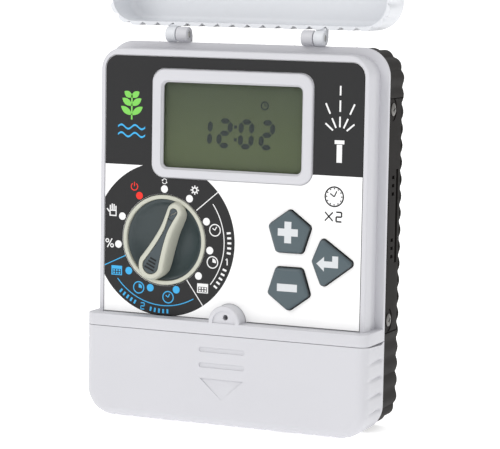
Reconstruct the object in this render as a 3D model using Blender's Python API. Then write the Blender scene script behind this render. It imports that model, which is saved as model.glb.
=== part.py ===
"""Wall-mounted irrigation controller with a flip-up lid, a selector dial, three keys and a slide-down
terminal cover.  Sizes are millimetres, turned into metres where a mesh is made.  The frame is +X to the
right seen from the front, +Y into the wall and +Z up, with the origin in the middle of the back face."""
import math

import bmesh
import bpy
from mathutils import Matrix, Vector

MM = 0.001
GAP = 0.3                      # room between two pieces that touch

# Overall case
HALF_WIDTH = 82.05
TOP = 102.0
CORNER = 15.1
SPLIT_Y = -23.15               # back of the front housing's flange
FLANGE_FRONT_Y = -25.17
PANEL_Y = -41.78               # face of the printed label
SURROUND_Y = -42.3             # raised edge round the label
PROUD_Y = -50.23               # face of the closed lid, of the strip and of the terminal cover
WALL = 2.2

# Plateau that carries the label
PLATEAU_HALF_WIDTH = 77.9
PLATEAU_TOP = 98.44
PLATEAU_CORNER = 12.0
LABEL_HALF_WIDTH = 75.0
LABEL_TOP = 94.7
LABEL_CORNER = 7.0
LABEL_THICK = 0.3
PANEL_WALL_FRONT_Y = PANEL_Y + LABEL_THICK + GAP
PANEL_WALL_BACK_Y = PANEL_WALL_FRONT_Y + 2.0

# Strip under the label, its screw lobe, and the seam to the terminal cover
STRIP_TOP = -45.8
SEAM = -52.66
LOBE_X, LOBE_Z, LOBE_RADIUS = 0.7, -45.5, 9.1
LOBE_HOLE_X, LOBE_HOLE_Z, LOBE_HOLE_RADIUS = 1.4, -42.7, 1.5
BAY_HALF_WIDTH = 79.3
BAY_BOTTOM = -99.3
BAY_FRONT_Y = -45.0
EDGE_ROUND = 5.5               # rounding of the front edges of the lid, the strip and the cover

# Display
BEZEL_HALF_WIDTH, BEZEL_LOW, BEZEL_HIGH, BEZEL_CORNER = 46.6, 29.7, 88.07, 7.5
BEZEL_Y = -43.3
VIEW_HALF_WIDTH, VIEW_LOW, VIEW_HIGH = 40.3, 35.2, 81.0
WINDOW_FRONT_Y, WINDOW_BACK_Y = -40.6, -39.8
LCD_FRONT_Y, LCD_BACK_Y = -39.5, -37.3

# Dial
DIAL_X, DIAL_Z = -39.1, -4.4
RIM_RADIUS, RIM_INNER = 24.5, 22.3
RIM_FRONT_Y, RIM_BACK_Y, RIM_EDGE = -42.3, -38.7, 0.6
DIAL_CLEARANCE = 0.5           # between the rim and the hole that it turns in
DISH_FLOOR_Y = -35.8
DISH_THICK = 1.8
DISH_EDGE_Y = -40.6
ROUND_SIDES = 36               # sides of the dial's turned pieces
SHAFT_RADIUS = 3.0
HANDLE_TOP_Y = -45.2
HANDLE_TURN = -24.5            # degrees, pointer clockwise from straight up
# Outlines along the pointer: (distance from the dial's centre, half width), and how far each end reaches
HANDLE = {"tip": (17.5, 4.15), "tip_reach": 4.5, "waist": (7.5, 3.6), "tail": (-14.5, 7.4), "tail_reach": 8.4}
INLAY = {"tip": (17.2, 2.1), "tip_reach": 2.0, "waist": (6.4, 0.95), "tail": (-15.2, 4.6), "tail_reach": 4.7}
INLAY_DEPTH = 1.2

# Keys
KEY_TOP_Y = -44.8
KEY_BEVEL, KEY_BEVEL_HEIGHT = 1.2, 0.9
KEY_GAP = 0.5
KEY_FLANGE = 1.3
PLUS_CENTRE = (34.9, 3.95)
MINUS_CENTRE = (35.0, -24.6)
ENTER_CENTRE = (56.8, -10.0)
ENTER_CORNERS = [(53.2, 2.9), (71.9, -9.95), (53.7, -23.7), (47.9, -9.8)]
PENTAGON_RADIUS = 12.65
KEY_CORNER = 2.0

# Electronics
BOARD_FRONT_Y, BOARD_BACK_Y = -25.67, -24.07
BOARD_HALF_WIDTH, BOARD_LOW, BOARD_HIGH = 65.0, -40.0, 88.0
SWITCH_FRONT_Y = -31.0
SWITCH_HALF = 3.1
PLUNGER_FRONT_Y = -32.8
PLUNGER_RADIUS = 1.7
TERMINALS = 8
TERMINAL_PITCH = 9.0
TERMINAL_SCREW_Z = -66.5

# Hinge of the lid
HINGE_Y, HINGE_Z, KNUCKLE_RADIUS = -25.47, 106.2, 4.13
LUG_INNER, LUG_OUTER = 33.2, 39.8
KNUCKLE_INNER, KNUCKLE_OUTER = 40.3, 46.0
PIN_RADIUS = 1.5

# Rear case and the plates on its sides
REAR_HALF_WIDTH, REAR_TOP, REAR_BOTTOM, REAR_CORNER = 81.4, 101.3, -101.4, 15.5
REAR_FRONT_Y = SPLIT_Y + GAP
REAR_WALL = 3.0
PLATE_LOW, PLATE_HIGH = -49.1, 75.4
PLATE_BACK_Y, PLATE_FRONT_Y = -1.6, -22.2
PLATE_DEPTH = 1.8
SIDE_SCREWS = [(-14.8, 69.65), (-14.8, -42.4)]
CASE_SCREWS = [(-70.0, 90.0), (70.0, 90.0), (-70.0, -89.0), (70.0, -89.0)]
BOARD_SCREWS = [(-60.0, 83.0), (60.0, -35.0)]
GROMMETS = {"left": -34.0, "right": 34.0}
GROMMET_Y = -35.5
KEYHOLE_Z = 78.0
WALL_SCREWS = [(-52.0, -86.0), (52.0, -86.0)]
WALL_SCREW_HOLE = 2.5


# ---------------------------------------------------------------- outlines
def arc(cx, cz, radius, start, end, steps):
    """Points on a circle from start to end degrees, both ends included."""
    points = []
    for i in range(steps + 1):
        a = math.radians(start + (end - start) * i / steps)
        points.append((cx + radius * math.cos(a), cz + radius * math.sin(a)))
    return points


def rounded_box(half_width, low, high, low_corner, high_corner, steps=6):
    """Outline of an upright panel, centred on x = 0."""
    outline = []
    corners = ((1, low, low_corner, -90), (1, high, high_corner, 0),
               (-1, high, high_corner, 90), (-1, low, low_corner, 180))
    for side, edge, radius, start in corners:
        x = side * (half_width - radius)
        z = edge + radius if edge == low else edge - radius
        if radius > 0:
            outline += arc(x, z, radius, start, start + 90, steps)
        else:
            outline.append((x, z))
    return outline


def grown(polygon, distance):
    """A convex polygon with every side moved outwards."""
    area = sum(a[0] * b[1] - b[0] * a[1] for a, b in zip(polygon, polygon[1:] + polygon[:1]))
    out = math.copysign(1.0, area)
    moved = []
    for i, corner in enumerate(polygon):
        before, after = Vector(polygon[i - 1]), Vector(polygon[(i + 1) % len(polygon)])
        one = (Vector(corner) - before).normalized()
        two = (after - Vector(corner)).normalized()
        normal_one = Vector((one.y, -one.x)) * out
        normal_two = Vector((two.y, -two.x)) * out
        step = (normal_one + normal_two) / (1.0 + normal_one.dot(normal_two))
        moved.append(tuple(Vector(corner) + step * distance))
    return moved


def filleted(polygon, radius, steps=3):
    """A convex polygon with its corners rounded."""
    outline = []
    for i, corner in enumerate(polygon):
        here = Vector(corner)
        to_before = (Vector(polygon[i - 1]) - here).normalized()
        to_after = (Vector(polygon[(i + 1) % len(polygon)]) - here).normalized()
        half = to_before.angle(to_after) / 2.0
        centre = here + (to_before + to_after).normalized() * (radius / math.sin(half))
        start = here + to_before * (radius / math.tan(half)) - centre
        end = here + to_after * (radius / math.tan(half)) - centre
        turn = start.angle_signed(end)
        for k in range(steps + 1):
            a = -turn * k / steps
            c, s = math.cos(a), math.sin(a)
            outline.append((centre.x + start.x * c - start.y * s, centre.y + start.x * s + start.y * c))
    return outline


def pentagon(centre, tip_angle):
    """Corners of a regular pentagon, one of them at tip_angle degrees."""
    return [(centre[0] + PENTAGON_RADIUS * math.cos(math.radians(tip_angle + 72 * i)),
             centre[1] + PENTAGON_RADIUS * math.sin(math.radians(tip_angle + 72 * i)))
            for i in range(5)]


def circle_round(outline, centre, radius):
    """A circle with one point in the direction of each point of an outline."""
    points = []
    for x, z in outline:
        away = Vector((x - centre[0], z - centre[1])).normalized()
        points.append((centre[0] + away.x * radius, centre[1] + away.y * radius))
    return points


# ---------------------------------------------------------------- meshes
def make_object(name, bm):
    """Close a bmesh into an object."""
    bmesh.ops.recalc_face_normals(bm, faces=bm.faces)
    mesh = bpy.data.meshes.new(name)
    bm.to_mesh(mesh)
    bm.free()
    obj = bpy.data.objects.new(name, mesh)
    bpy.context.scene.collection.objects.link(obj)
    return obj


def loft(name, rings):
    """A solid through rings of the same count, each (outline, y), closed at both ends."""
    bm = bmesh.new()
    loops = [[bm.verts.new((x * MM, y * MM, z * MM)) for x, z in outline] for outline, y in rings]
    for one, two in zip(loops, loops[1:]):
        for i in range(len(one)):
            j = (i + 1) % len(one)
            bm.faces.new((one[i], one[j], two[j], two[i]))
    bm.faces.new(loops[0])
    bm.faces.new(loops[-1])
    return make_object(name, bm)


def prism(name, outline, y_back, y_front):
    """An outline pushed straight along Y."""
    bm = bmesh.new()
    face = bm.faces.new([bm.verts.new((x * MM, y_back * MM, z * MM)) for x, z in outline])
    push = bmesh.ops.extrude_face_region(bm, geom=[face])
    moved = [v for v in push["geom"] if isinstance(v, bmesh.types.BMVert)]
    bmesh.ops.translate(bm, verts=moved, vec=(0, (y_front - y_back) * MM, 0))
    return make_object(name, bm)


def box(name, x_span, y_span, z_span):
    """A block between two corners."""
    spans = [sorted(s) for s in (x_span, y_span, z_span)]
    bm = bmesh.new()
    bmesh.ops.create_cube(bm, size=1.0)
    size = [(hi - lo) * MM for lo, hi in spans]
    middle = [(hi + lo) / 2 * MM for lo, hi in spans]
    bmesh.ops.transform(bm, matrix=Matrix.Translation(middle) @ Matrix.Diagonal((*size, 1.0)), verts=bm.verts)
    return make_object(name, bm)


def cylinder(name, centre, radius, span, axis="Y", sides=24):
    """A round bar along an axis; centre is where it crosses the plane of the other two axes."""
    low, high = sorted(span)
    middle = (low + high) / 2
    turns = {"X": Matrix.Rotation(math.pi / 2, 4, "Y"), "Y": Matrix.Rotation(math.pi / 2, 4, "X"),
             "Z": Matrix.Identity(4)}
    places = {"X": (middle, centre[0], centre[1]), "Y": (centre[0], middle, centre[1]),
              "Z": (centre[0], centre[1], middle)}
    bm = bmesh.new()
    place = Matrix.Translation(Vector(places[axis]) * MM)
    bmesh.ops.create_cone(bm, cap_ends=True, segments=sides, radius1=radius * MM, radius2=radius * MM,
                          depth=(high - low) * MM, matrix=place @ turns[axis])
    return make_object(name, bm)


def turned(name, profile, centre, sides=40, axis="Y"):
    """A closed profile of (radius, distance) spun about an axis through centre."""
    directions = {"X": (Vector((1, 0, 0)), Vector((0, 0, 1))), "Y": (Vector((0, 1, 0)), Vector((1, 0, 0))),
                  "Z": (Vector((0, 0, 1)), Vector((1, 0, 0)))}
    along, out = directions[axis]
    start = Vector(centre) * MM
    bm = bmesh.new()
    ring = [bm.verts.new(start + out * r * MM + along * d * MM) for r, d in profile]
    edges = [bm.edges.new((ring[i], ring[(i + 1) % len(ring)])) for i in range(len(ring))]
    edges = [e for e in edges if max((v.co - start).dot(out) for v in e.verts) > 1e-9]
    bmesh.ops.spin(bm, geom=ring + edges, cent=start, axis=along, angle=2 * math.pi, steps=sides,
                   use_merge=True)
    bmesh.ops.remove_doubles(bm, verts=bm.verts, dist=1e-7)
    loose = [e for e in bm.edges if not e.link_faces]
    bmesh.ops.delete(bm, geom=loose, context="EDGES")
    return make_object(name, bm)


def boolean(target, tool, operation):
    """Apply a Boolean to the target and drop the tool."""
    modifier = target.modifiers.new(operation.lower(), "BOOLEAN")
    modifier.operation = operation
    modifier.solver = "EXACT"
    modifier.object = tool
    tool.hide_render = True
    tool.display_type = "WIRE"
    graph = bpy.context.evaluated_depsgraph_get()
    result = bpy.data.meshes.new_from_object(target.evaluated_get(graph))
    target.modifiers.remove(modifier)
    target.data = result
    bpy.data.objects.remove(tool, do_unlink=True)


def cut(target, *tools):
    for tool in tools:
        boolean(target, tool, "DIFFERENCE")


def add(target, *tools):
    for tool in tools:
        boolean(target, tool, "UNION")


def finish(obj, name, colour, roughness, metallic=0.0, smooth_angle=35.0):
    """Name a piece, give it its own material and shade its round faces smooth."""
    mat = bpy.data.materials.new(name + "_material")
    mat.use_nodes = True
    shader = mat.node_tree.nodes["Principled BSDF"]
    shader.inputs["Base Color"].default_value = (*colour, 1.0)
    shader.inputs["Roughness"].default_value = roughness
    shader.inputs["Metallic"].default_value = metallic
    obj.name = name
    obj.data.name = name
    obj.data.materials.clear()
    obj.data.materials.append(mat)
    obj.data.shade_smooth()
    obj.data.set_sharp_from_angle(angle=math.radians(smooth_angle))
    return obj


def set_origin(obj, point):
    """Move a piece's origin, leaving its shape where it is."""
    place = Vector(point) * MM
    obj.data.transform(Matrix.Translation(-place))
    obj.location = place
    return obj


WHITE = (0.80, 0.81, 0.83)
LABEL_WHITE = (0.92, 0.92, 0.91)
WARM_BLACK = (0.045, 0.040, 0.036)
CREAM = (0.76, 0.75, 0.65)
SLATE = (0.055, 0.080, 0.095)
KEY_GREY = (0.11, 0.15, 0.17)
STEEL = (0.60, 0.60, 0.60)
BOARD_GREEN = (0.03, 0.16, 0.06)
CHIP_BLACK = (0.02, 0.02, 0.02)


# ---------------------------------------------------------------- front shell
def lower_outline(inset):
    """Outline shared by the strip and the terminal cover, carried up past the seam."""
    return rounded_box(HALF_WIDTH - inset, -TOP + inset, 0.0, CORNER - inset, 0.0)


def rounded_front(name, outline, y_back, y_front, radius, steps=4, inset=0.0):
    """A prism whose front edges are rounded; outline(inset) gives each ring."""
    rings = [(outline(inset), y_back)]
    for k in range(steps + 1):
        a = math.pi / 2 * k / steps
        rings.append((outline(inset + radius * (1 - math.cos(a))), y_front + radius * (1 - math.sin(a))))
    return loft(name, rings)


def key_outlines():
    """Corner polygon and centre of each key."""
    return {"plus": (pentagon(PLUS_CENTRE, 90), PLUS_CENTRE),
            "minus": (pentagon(MINUS_CENTRE, -90), MINUS_CENTRE),
            "enter": (ENTER_CORNERS, ENTER_CENTRE)}


def side_lug(name, side, inner, outer, z_span, y_span):
    """Hinge knuckle with its arm; z_span and y_span are the arm's."""
    x_span = (side * inner, side * outer)
    knuckle = cylinder(name, (HINGE_Y, HINGE_Z), KNUCKLE_RADIUS, x_span, "X", 20)
    add(knuckle, box("arm", x_span, y_span, z_span))
    return knuckle


def build_front_housing():
    """Flange, plateau, display frame, strip with its lobe, terminal bay and bosses in one moulding."""
    housing = prism("front", rounded_box(HALF_WIDTH, SEAM + GAP, TOP, 0.0, CORNER), SPLIT_Y, FLANGE_FRONT_Y)
    plateau = loft("plateau", [
        (rounded_box(PLATEAU_HALF_WIDTH + grow, STRIP_TOP - 1.0, PLATEAU_TOP + grow, 0.0, PLATEAU_CORNER), y)
        for grow, y in ((0.6, FLANGE_FRONT_Y + 1.0), (0.1, SURROUND_Y + 1.2), (-0.9, SURROUND_Y))])
    recess = rounded_box(LABEL_HALF_WIDTH + GAP, STRIP_TOP - 5.0, LABEL_TOP + GAP, 0.0, LABEL_CORNER + GAP)
    cut(plateau, prism("recess", recess, PANEL_WALL_FRONT_Y, SURROUND_Y - 5.0))
    add(housing, plateau)

    frame = loft("bezel", [
        (rounded_box(BEZEL_HALF_WIDTH - inset, BEZEL_LOW + inset, BEZEL_HIGH - inset,
                     BEZEL_CORNER - inset, BEZEL_CORNER - inset), y)
        for inset, y in ((0.0, PANEL_WALL_FRONT_Y + 0.5), (0.0, BEZEL_Y + 0.6), (0.6, BEZEL_Y))])
    add(housing, frame)

    strip = rounded_front("strip", lower_outline, SPLIT_Y, PROUD_Y, EDGE_ROUND)
    cut(strip, box("above", (-90, 90), (-60, 10), (STRIP_TOP, 20)),
        box("below", (-90, 90), (-60, 10), (-120, SEAM + GAP)))
    add(housing, strip)
    bay = prism("bay", rounded_box(BAY_HALF_WIDTH, BAY_BOTTOM, SEAM + 1.0, 12.5, 0.0), SPLIT_Y, BAY_FRONT_Y)
    add(housing, bay)
    lobe_depth = (PANEL_WALL_FRONT_Y + 1.0, PROUD_Y)
    add(housing, cylinder("lobe", (LOBE_X, LOBE_Z), LOBE_RADIUS, lobe_depth, sides=28))

    cavity_low = STRIP_TOP + 1.8
    cavity = prism("cavity", rounded_box(PLATEAU_HALF_WIDTH - 2.0, cavity_low, PLATEAU_TOP - 2.0, 0.0, 10.0),
                   SPLIT_Y + 5.0, PANEL_WALL_BACK_Y)
    cut(housing, cavity)
    bay_wall, inner_corner = 2.0, 10.5
    inner_half, inner_low = BAY_HALF_WIDTH - bay_wall, BAY_BOTTOM + bay_wall
    cut(housing,
        prism("bay_inside", rounded_box(inner_half, inner_low, STRIP_TOP - 2.0, inner_corner, 0.0),
              FLANGE_FRONT_Y, PROUD_Y + WALL),
        prism("mouth", rounded_box(inner_half, inner_low, SEAM + GAP, inner_corner, 0.0),
              BAY_FRONT_Y + 1.0, PROUD_Y - 5.0))

    rebate = 2.0
    cut(housing,
        prism("view", rounded_box(VIEW_HALF_WIDTH, VIEW_LOW, VIEW_HIGH, 2.8, 2.8, 4), PANEL_WALL_BACK_Y + 5.0,
              BEZEL_Y - 5.0),
        box("rebate", (-VIEW_HALF_WIDTH - rebate, VIEW_HALF_WIDTH + rebate),
            (WINDOW_FRONT_Y - GAP, PANEL_WALL_BACK_Y + 5.0), (VIEW_LOW - rebate, VIEW_HIGH + rebate)),
        cylinder("dial_hole", (DIAL_X, DIAL_Z), RIM_RADIUS + DIAL_CLEARANCE,
                 (PANEL_WALL_BACK_Y + 5, SURROUND_Y - 5), sides=ROUND_SIDES))
    for name, (corners, _) in key_outlines().items():
        cut(housing, prism(name, filleted(grown(corners, KEY_GAP), KEY_CORNER + KEY_GAP),
                           PANEL_WALL_BACK_Y + 5, SURROUND_Y - 5))
    cut(housing, cylinder("lobe_hole", (LOBE_HOLE_X, LOBE_HOLE_Z), LOBE_HOLE_RADIUS,
                          (PANEL_WALL_BACK_Y + 5, PROUD_Y - 5), sides=16))

    for x, z in CASE_SCREWS:
        front = PANEL_WALL_BACK_Y - 0.5 if z > 0 else -36.0
        add(housing, cylinder("boss", (x, z), 3.6, (SPLIT_Y, front), sides=16))
        cut(housing, cylinder("pilot", (x, z), 1.7, (SPLIT_Y + 3, -34.5), sides=12))
    for x, z in BOARD_SCREWS:
        add(housing, cylinder("post", (x, z), 3.2, (BOARD_FRONT_Y - GAP, PANEL_WALL_BACK_Y - 0.5), sides=16))
        cut(housing, cylinder("pilot", (x, z), 1.5, (BOARD_FRONT_Y + 3, -36.0), sides=12))
    for x in GROMMETS.values():
        cut(housing, cylinder("entry", (x, GROMMET_Y), 6.3, (BAY_BOTTOM - 5, BAY_BOTTOM + 5), "Z", 24))
    through = (SPLIT_Y + 5, FLANGE_FRONT_Y - 5)
    for centre in WALL_SCREWS:
        cut(housing, cylinder("wall_screw", centre, WALL_SCREW_HOLE, through, sides=16))

    for side in (-1, 1):
        lug = side_lug("lug", side, LUG_INNER, LUG_OUTER, (TOP - 0.2, HINGE_Z), (FLANGE_FRONT_Y, -21.4))
        cut(lug, box("clear", (side * 30, side * 45), (SPLIT_Y, -15), (95, REAR_TOP + 0.8)))
        add(lug, box("root", (side * LUG_INNER, side * LUG_OUTER), (FLANGE_FRONT_Y, SPLIT_Y),
                     (TOP - 2.5, HINGE_Z)))
        add(housing, lug)
        cut(housing, cylinder("pin_hole", (HINGE_Y, HINGE_Z), PIN_RADIUS + GAP,
                              (side * (LUG_INNER - 3), side * (LUG_OUTER + 3)), "X", 16))
    return finish(housing, "front_housing", WHITE, 0.42)


def build_label():
    """Printed sheet stuck in the recess of the plateau, cut out for everything that comes through it."""
    label = prism("label", rounded_box(LABEL_HALF_WIDTH, STRIP_TOP + GAP, LABEL_TOP, 0.0, LABEL_CORNER),
                  PANEL_Y + LABEL_THICK, PANEL_Y)
    cut(label, prism("bezel", rounded_box(BEZEL_HALF_WIDTH + GAP, BEZEL_LOW - GAP, BEZEL_HIGH + GAP,
                                          BEZEL_CORNER, BEZEL_CORNER), PANEL_Y + 3, PANEL_Y - 3))
    through = (PANEL_Y + 3, PANEL_Y - 3)
    dial_hole = RIM_RADIUS + DIAL_CLEARANCE
    cut(label, cylinder("dial_hole", (DIAL_X, DIAL_Z), dial_hole, through, sides=ROUND_SIDES),
        cylinder("lobe", (LOBE_X, LOBE_Z), LOBE_RADIUS + GAP, through, sides=32))
    for name, (corners, _) in key_outlines().items():
        cut(label, prism(name, filleted(grown(corners, KEY_GAP), KEY_CORNER + KEY_GAP), *through))
    return finish(label, "faceplate_label", LABEL_WHITE, 0.35)


def build_display():
    """Clear window, display glass, the frame that holds it and its rubber contact strip."""
    edge = 1.7
    clear = rounded_box(VIEW_HALF_WIDTH + edge, VIEW_LOW - edge, VIEW_HIGH + edge, 0.8, 0.8, 2)
    finish(prism("window", clear, WINDOW_BACK_Y, WINDOW_FRONT_Y), "display_window", (0.85, 0.88, 0.85), 0.08)
    finish(box("glass", (-VIEW_HALF_WIDTH - edge, VIEW_HALF_WIDTH + edge), (LCD_BACK_Y, LCD_FRONT_Y),
               (VIEW_LOW - edge, VIEW_HIGH + edge)), "lcd_glass", (0.10, 0.14, 0.07), 0.25)
    holder_front, ledge_y, holder_back = PANEL_WALL_BACK_Y + GAP, LCD_BACK_Y + GAP, BOARD_FRONT_Y - GAP
    holder = prism("holder", rounded_box(46.0, VIEW_LOW - 5.0, VIEW_HIGH + 5.0, 1.0, 1.0, 2), holder_back,
                   holder_front)
    cut(holder, box("seat", (-42.4, 42.4), (ledge_y, holder_front - 5), (VIEW_LOW - 2.1, VIEW_HIGH + 2.1)),
        box("light_well", (-39.5, 39.5), (holder_back + 5, ledge_y - 5), (VIEW_LOW - 1.2, VIEW_HIGH - 2.0)))
    finish(holder, "lcd_holder", (0.75, 0.75, 0.72), 0.5)
    finish(box("strip", (-38.0, 38.0), (holder_back, ledge_y), (VIEW_LOW - 0.8, VIEW_LOW + 1.7)),
           "lcd_connector_strip", (0.30, 0.12, 0.10), 0.7)


# ---------------------------------------------------------------- lid and hinge
def lid_outline(inset):
    """The lid lying open: its near edge is just over the hinge."""
    near = 2 * HINGE_Z - (TOP - 0.2)
    far = 2 * HINGE_Z - (STRIP_TOP + 0.5)
    return rounded_box(HALF_WIDTH - inset, near + inset, far - inset, CORNER - inset, 4.0 - inset / 2)


def lid_solid(name, inset, y_rim, y_outer, radius, steps=4):
    """The lid's block with its outer edges rounded, at a given inset from its surface."""
    rings = [(lid_outline(inset), y_rim)]
    for k in range(steps + 1):
        a = math.pi / 2 * k / steps
        rings.append((lid_outline(inset + radius * (1 - math.cos(a))), y_outer - radius * (1 - math.sin(a))))
    return loft(name, rings)


def build_lid():
    """Deep cover, built in its open place, so that its outer face is next to the wall."""
    outer_y = 2 * HINGE_Y - PROUD_Y
    far = 2 * HINGE_Z - (STRIP_TOP + 0.5)
    lid = lid_solid("lid", 0.0, HINGE_Y, outer_y, EDGE_ROUND)
    cut(lid, lid_solid("inside", WALL, HINGE_Y - 5.0, outer_y - WALL, EDGE_ROUND - WALL))
    panel_open_y = 2 * HINGE_Y - SURROUND_Y
    cut(lid, box("over_panel", (-HALF_WIDTH + WALL, HALF_WIDTH - WALL), (HINGE_Y - 5, panel_open_y + 0.6),
                 (far - 8.0, far + 5.0)))
    lobe_z = 2 * HINGE_Z - LOBE_Z
    notch_radius = LOBE_RADIUS + 1.0
    cut(lid, cylinder("notch", (LOBE_X, lobe_z), notch_radius, (HINGE_Y - 5, outer_y + 5), sides=28),
        box("notch_mouth", (LOBE_X - notch_radius, LOBE_X + notch_radius), (HINGE_Y - 5, outer_y + 5),
            (lobe_z, lobe_z + 5)))
    near = 2 * HINGE_Z - (TOP - 0.2)
    for side in (-1, 1):
        arm = side_lug("arm", side, KNUCKLE_INNER, KNUCKLE_OUTER, (HINGE_Z, near + 1.0),
                       (HINGE_Y + 0.6, HINGE_Y + KNUCKLE_RADIUS))
        add(lid, arm)
        cut(lid, cylinder("pin_hole", (HINGE_Y, HINGE_Z), PIN_RADIUS + GAP,
                          (side * (KNUCKLE_INNER - 3), side * (KNUCKLE_OUTER + 3)), "X", 16))
    finish(lid, "lid", WHITE, 0.42)
    return set_origin(lid, (0, HINGE_Y, HINGE_Z))


def build_hinge_pins():
    for word, side in (("left", -1), ("right", 1)):
        reach = (side * (LUG_INNER + 0.4), side * (KNUCKLE_OUTER - 0.4))
        pin = cylinder("pin", (HINGE_Y, HINGE_Z), PIN_RADIUS, reach, "X", 16)
        finish(pin, "hinge_pin_" + word, STEEL, 0.3, 1.0)


# ---------------------------------------------------------------- terminal cover
def build_terminal_cover():
    """Tray that slides down off the terminal bay; its bottom is open behind the cables."""
    cover = rounded_front("cover", lower_outline, SPLIT_Y, PROUD_Y, EDGE_ROUND)
    cut(cover, box("above", (-90, 90), (-60, 10), (SEAM, 20)),
        rounded_front("inside", lower_outline, SPLIT_Y + 5, PROUD_Y + WALL, EDGE_ROUND - WALL, inset=WALL))
    sunk = (PROUD_Y + 0.7, PROUD_Y - 3)
    for z in (-60.7, -69.1):
        cut(cover, prism("slot", rounded_box(13.4, z - 1.4, z + 1.4, 1.3, 1.3, 3), *sunk))
    cut(cover, prism("arrow", [(-12.7, -76.3), (12.7, -76.3), (0.0, -87.5)], *sunk))
    for x in GROMMETS.values():
        cut(cover, cylinder("cable_notch", (x, GROMMET_Y), 7.5, (-TOP - 5, -TOP + 5), "Z", 24),
            box("notch_mouth", (x - 7.5, x + 7.5), (GROMMET_Y, SPLIT_Y + 5), (-TOP - 5, -TOP + 5)))
    return finish(cover, "terminal_cover", WHITE, 0.42)


# ---------------------------------------------------------------- dial
def pointer_outline(shape, grow):
    """Waisted outline of the handle or of its inlay, seen from the front, in the case's frame."""
    (tip, tip_half), (waist, waist_half), (tail, tail_half) = shape["tip"], shape["waist"], shape["tail"]
    steps = 6

    def half_width(u):
        if u > waist:
            return grow + waist_half + (tip_half - waist_half) * ((u - waist) / (tip - waist)) ** 1.5
        return grow + waist_half + (tail_half - waist_half) * ((waist - u) / (waist - tail)) ** 1.5

    def rounded_end(place, half, reach, start):
        turns = arc(0, 0, 1.0, start, start + 180, 8)
        return [(v * (half + grow), place + u * (reach + grow)) for v, u in turns]

    right = [(half_width(tail + (tip - tail) * k / steps), tail + (tip - tail) * k / steps)
             for k in range(1, steps)]
    outline = rounded_end(tail, tail_half, shape["tail_reach"], -180) + right
    outline += rounded_end(tip, tip_half, shape["tip_reach"], 0) + [(-v, u) for v, u in reversed(right)]
    c, s = math.cos(math.radians(HANDLE_TURN)), math.sin(math.radians(HANDLE_TURN))
    return [(DIAL_X + v * c - u * s, DIAL_Z + v * s + u * c) for v, u in outline]


def dish_profile(lift):
    """Front of the dish from its edge to its middle, lifted towards the viewer."""
    edge = (RIM_INNER - GAP + lift, DISH_EDGE_Y - lift)
    slope = [(20.9, DISH_EDGE_Y + 0.2), (19.3, -38.9), (16.5, -37.2), (12.5, -36.2), (7.0, DISH_FLOOR_Y)]
    return [edge] + [(r, y - lift) for r, y in slope]


def build_dial():
    """Cream rim with the pointer across it, a dark dish behind, and a dark inlay in the pointer."""
    centre = (DIAL_X, 0, DIAL_Z)
    rim = [(RIM_INNER, RIM_BACK_Y), (RIM_RADIUS, RIM_BACK_Y), (RIM_RADIUS, RIM_FRONT_Y + RIM_EDGE),
           (RIM_RADIUS - RIM_EDGE, RIM_FRONT_Y), (RIM_INNER + RIM_EDGE, RIM_FRONT_Y),
           (RIM_INNER, RIM_FRONT_Y + RIM_EDGE)]
    knob = turned("knob", rim, centre, ROUND_SIDES)
    sides = ((1.2, DISH_FLOOR_Y + 0.9), (0.9, -40.0), (0.5, -43.2), (0.0, HANDLE_TOP_Y + 0.5),
             (-0.6, HANDLE_TOP_Y))
    handle = loft("handle", [(pointer_outline(HANDLE, grow), y) for grow, y in sides])
    behind_dish = [(0.0, DISH_FLOOR_Y - GAP), (0.0, -30.0), (RIM_INNER, -30.0)]
    cut(handle, turned("dish_room", dish_profile(GAP) + behind_dish, centre, ROUND_SIDES))
    limit = RIM_RADIUS - 1.0
    outside_rim = [(limit, -30.0), (40.0, -30.0), (40.0, -50.0), (limit, -50.0)]
    cut(handle, turned("outside_rim", outside_rim, centre, ROUND_SIDES))
    add(knob, handle)
    cut(knob, prism("pocket", pointer_outline(INLAY, GAP), HANDLE_TOP_Y + INLAY_DEPTH, HANDLE_TOP_Y - 3),
        cylinder("shaft_seat", (DIAL_X, DIAL_Z), SHAFT_RADIUS + GAP, (-30.0, -39.6), sides=24))
    set_origin(finish(knob, "dial_knob", CREAM, 0.4), centre)

    dish = dish_profile(0.0)
    back = [(7.0, DISH_FLOOR_Y + DISH_THICK), (17.4, -35.3), (RIM_INNER - 1.4, -38.2),
            (RIM_INNER - GAP, -39.4)]
    bore = SHAFT_RADIUS + GAP
    hub = [(bore, DISH_FLOOR_Y), (bore, -32.4), (5.5, -32.4), (5.5, DISH_FLOOR_Y + DISH_THICK)]
    bowl = turned("dish", dish + hub + back, centre, ROUND_SIDES)
    set_origin(finish(bowl, "dial_dish", SLATE, 0.35), centre)

    inlay = loft("inlay", [(pointer_outline(INLAY, 0.0), HANDLE_TOP_Y + INLAY_DEPTH - GAP),
                           (pointer_outline(INLAY, 0.0), HANDLE_TOP_Y + 0.5),
                           (pointer_outline(INLAY, -0.3), HANDLE_TOP_Y + 0.3)])
    set_origin(finish(inlay, "dial_inlay", SLATE, 0.4), centre)


def build_rotary_switch():
    """Switch on the board behind the dial; its shaft turns with the dial."""
    body = cylinder("body", (DIAL_X, DIAL_Z), 11.0, (BOARD_FRONT_Y - GAP, -32.0), sides=32)
    cut(body, cylinder("bore", (DIAL_X, DIAL_Z), SHAFT_RADIUS + GAP, (-27.5, -40.0), sides=24))
    finish(body, "rotary_switch", CHIP_BLACK, 0.5)
    shaft = cylinder("shaft", (DIAL_X, DIAL_Z), SHAFT_RADIUS, (-27.8, -39.3), sides=24)
    set_origin(finish(shaft, "rotary_switch_shaft", STEEL, 0.4, 1.0), (DIAL_X, 0, DIAL_Z))


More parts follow.
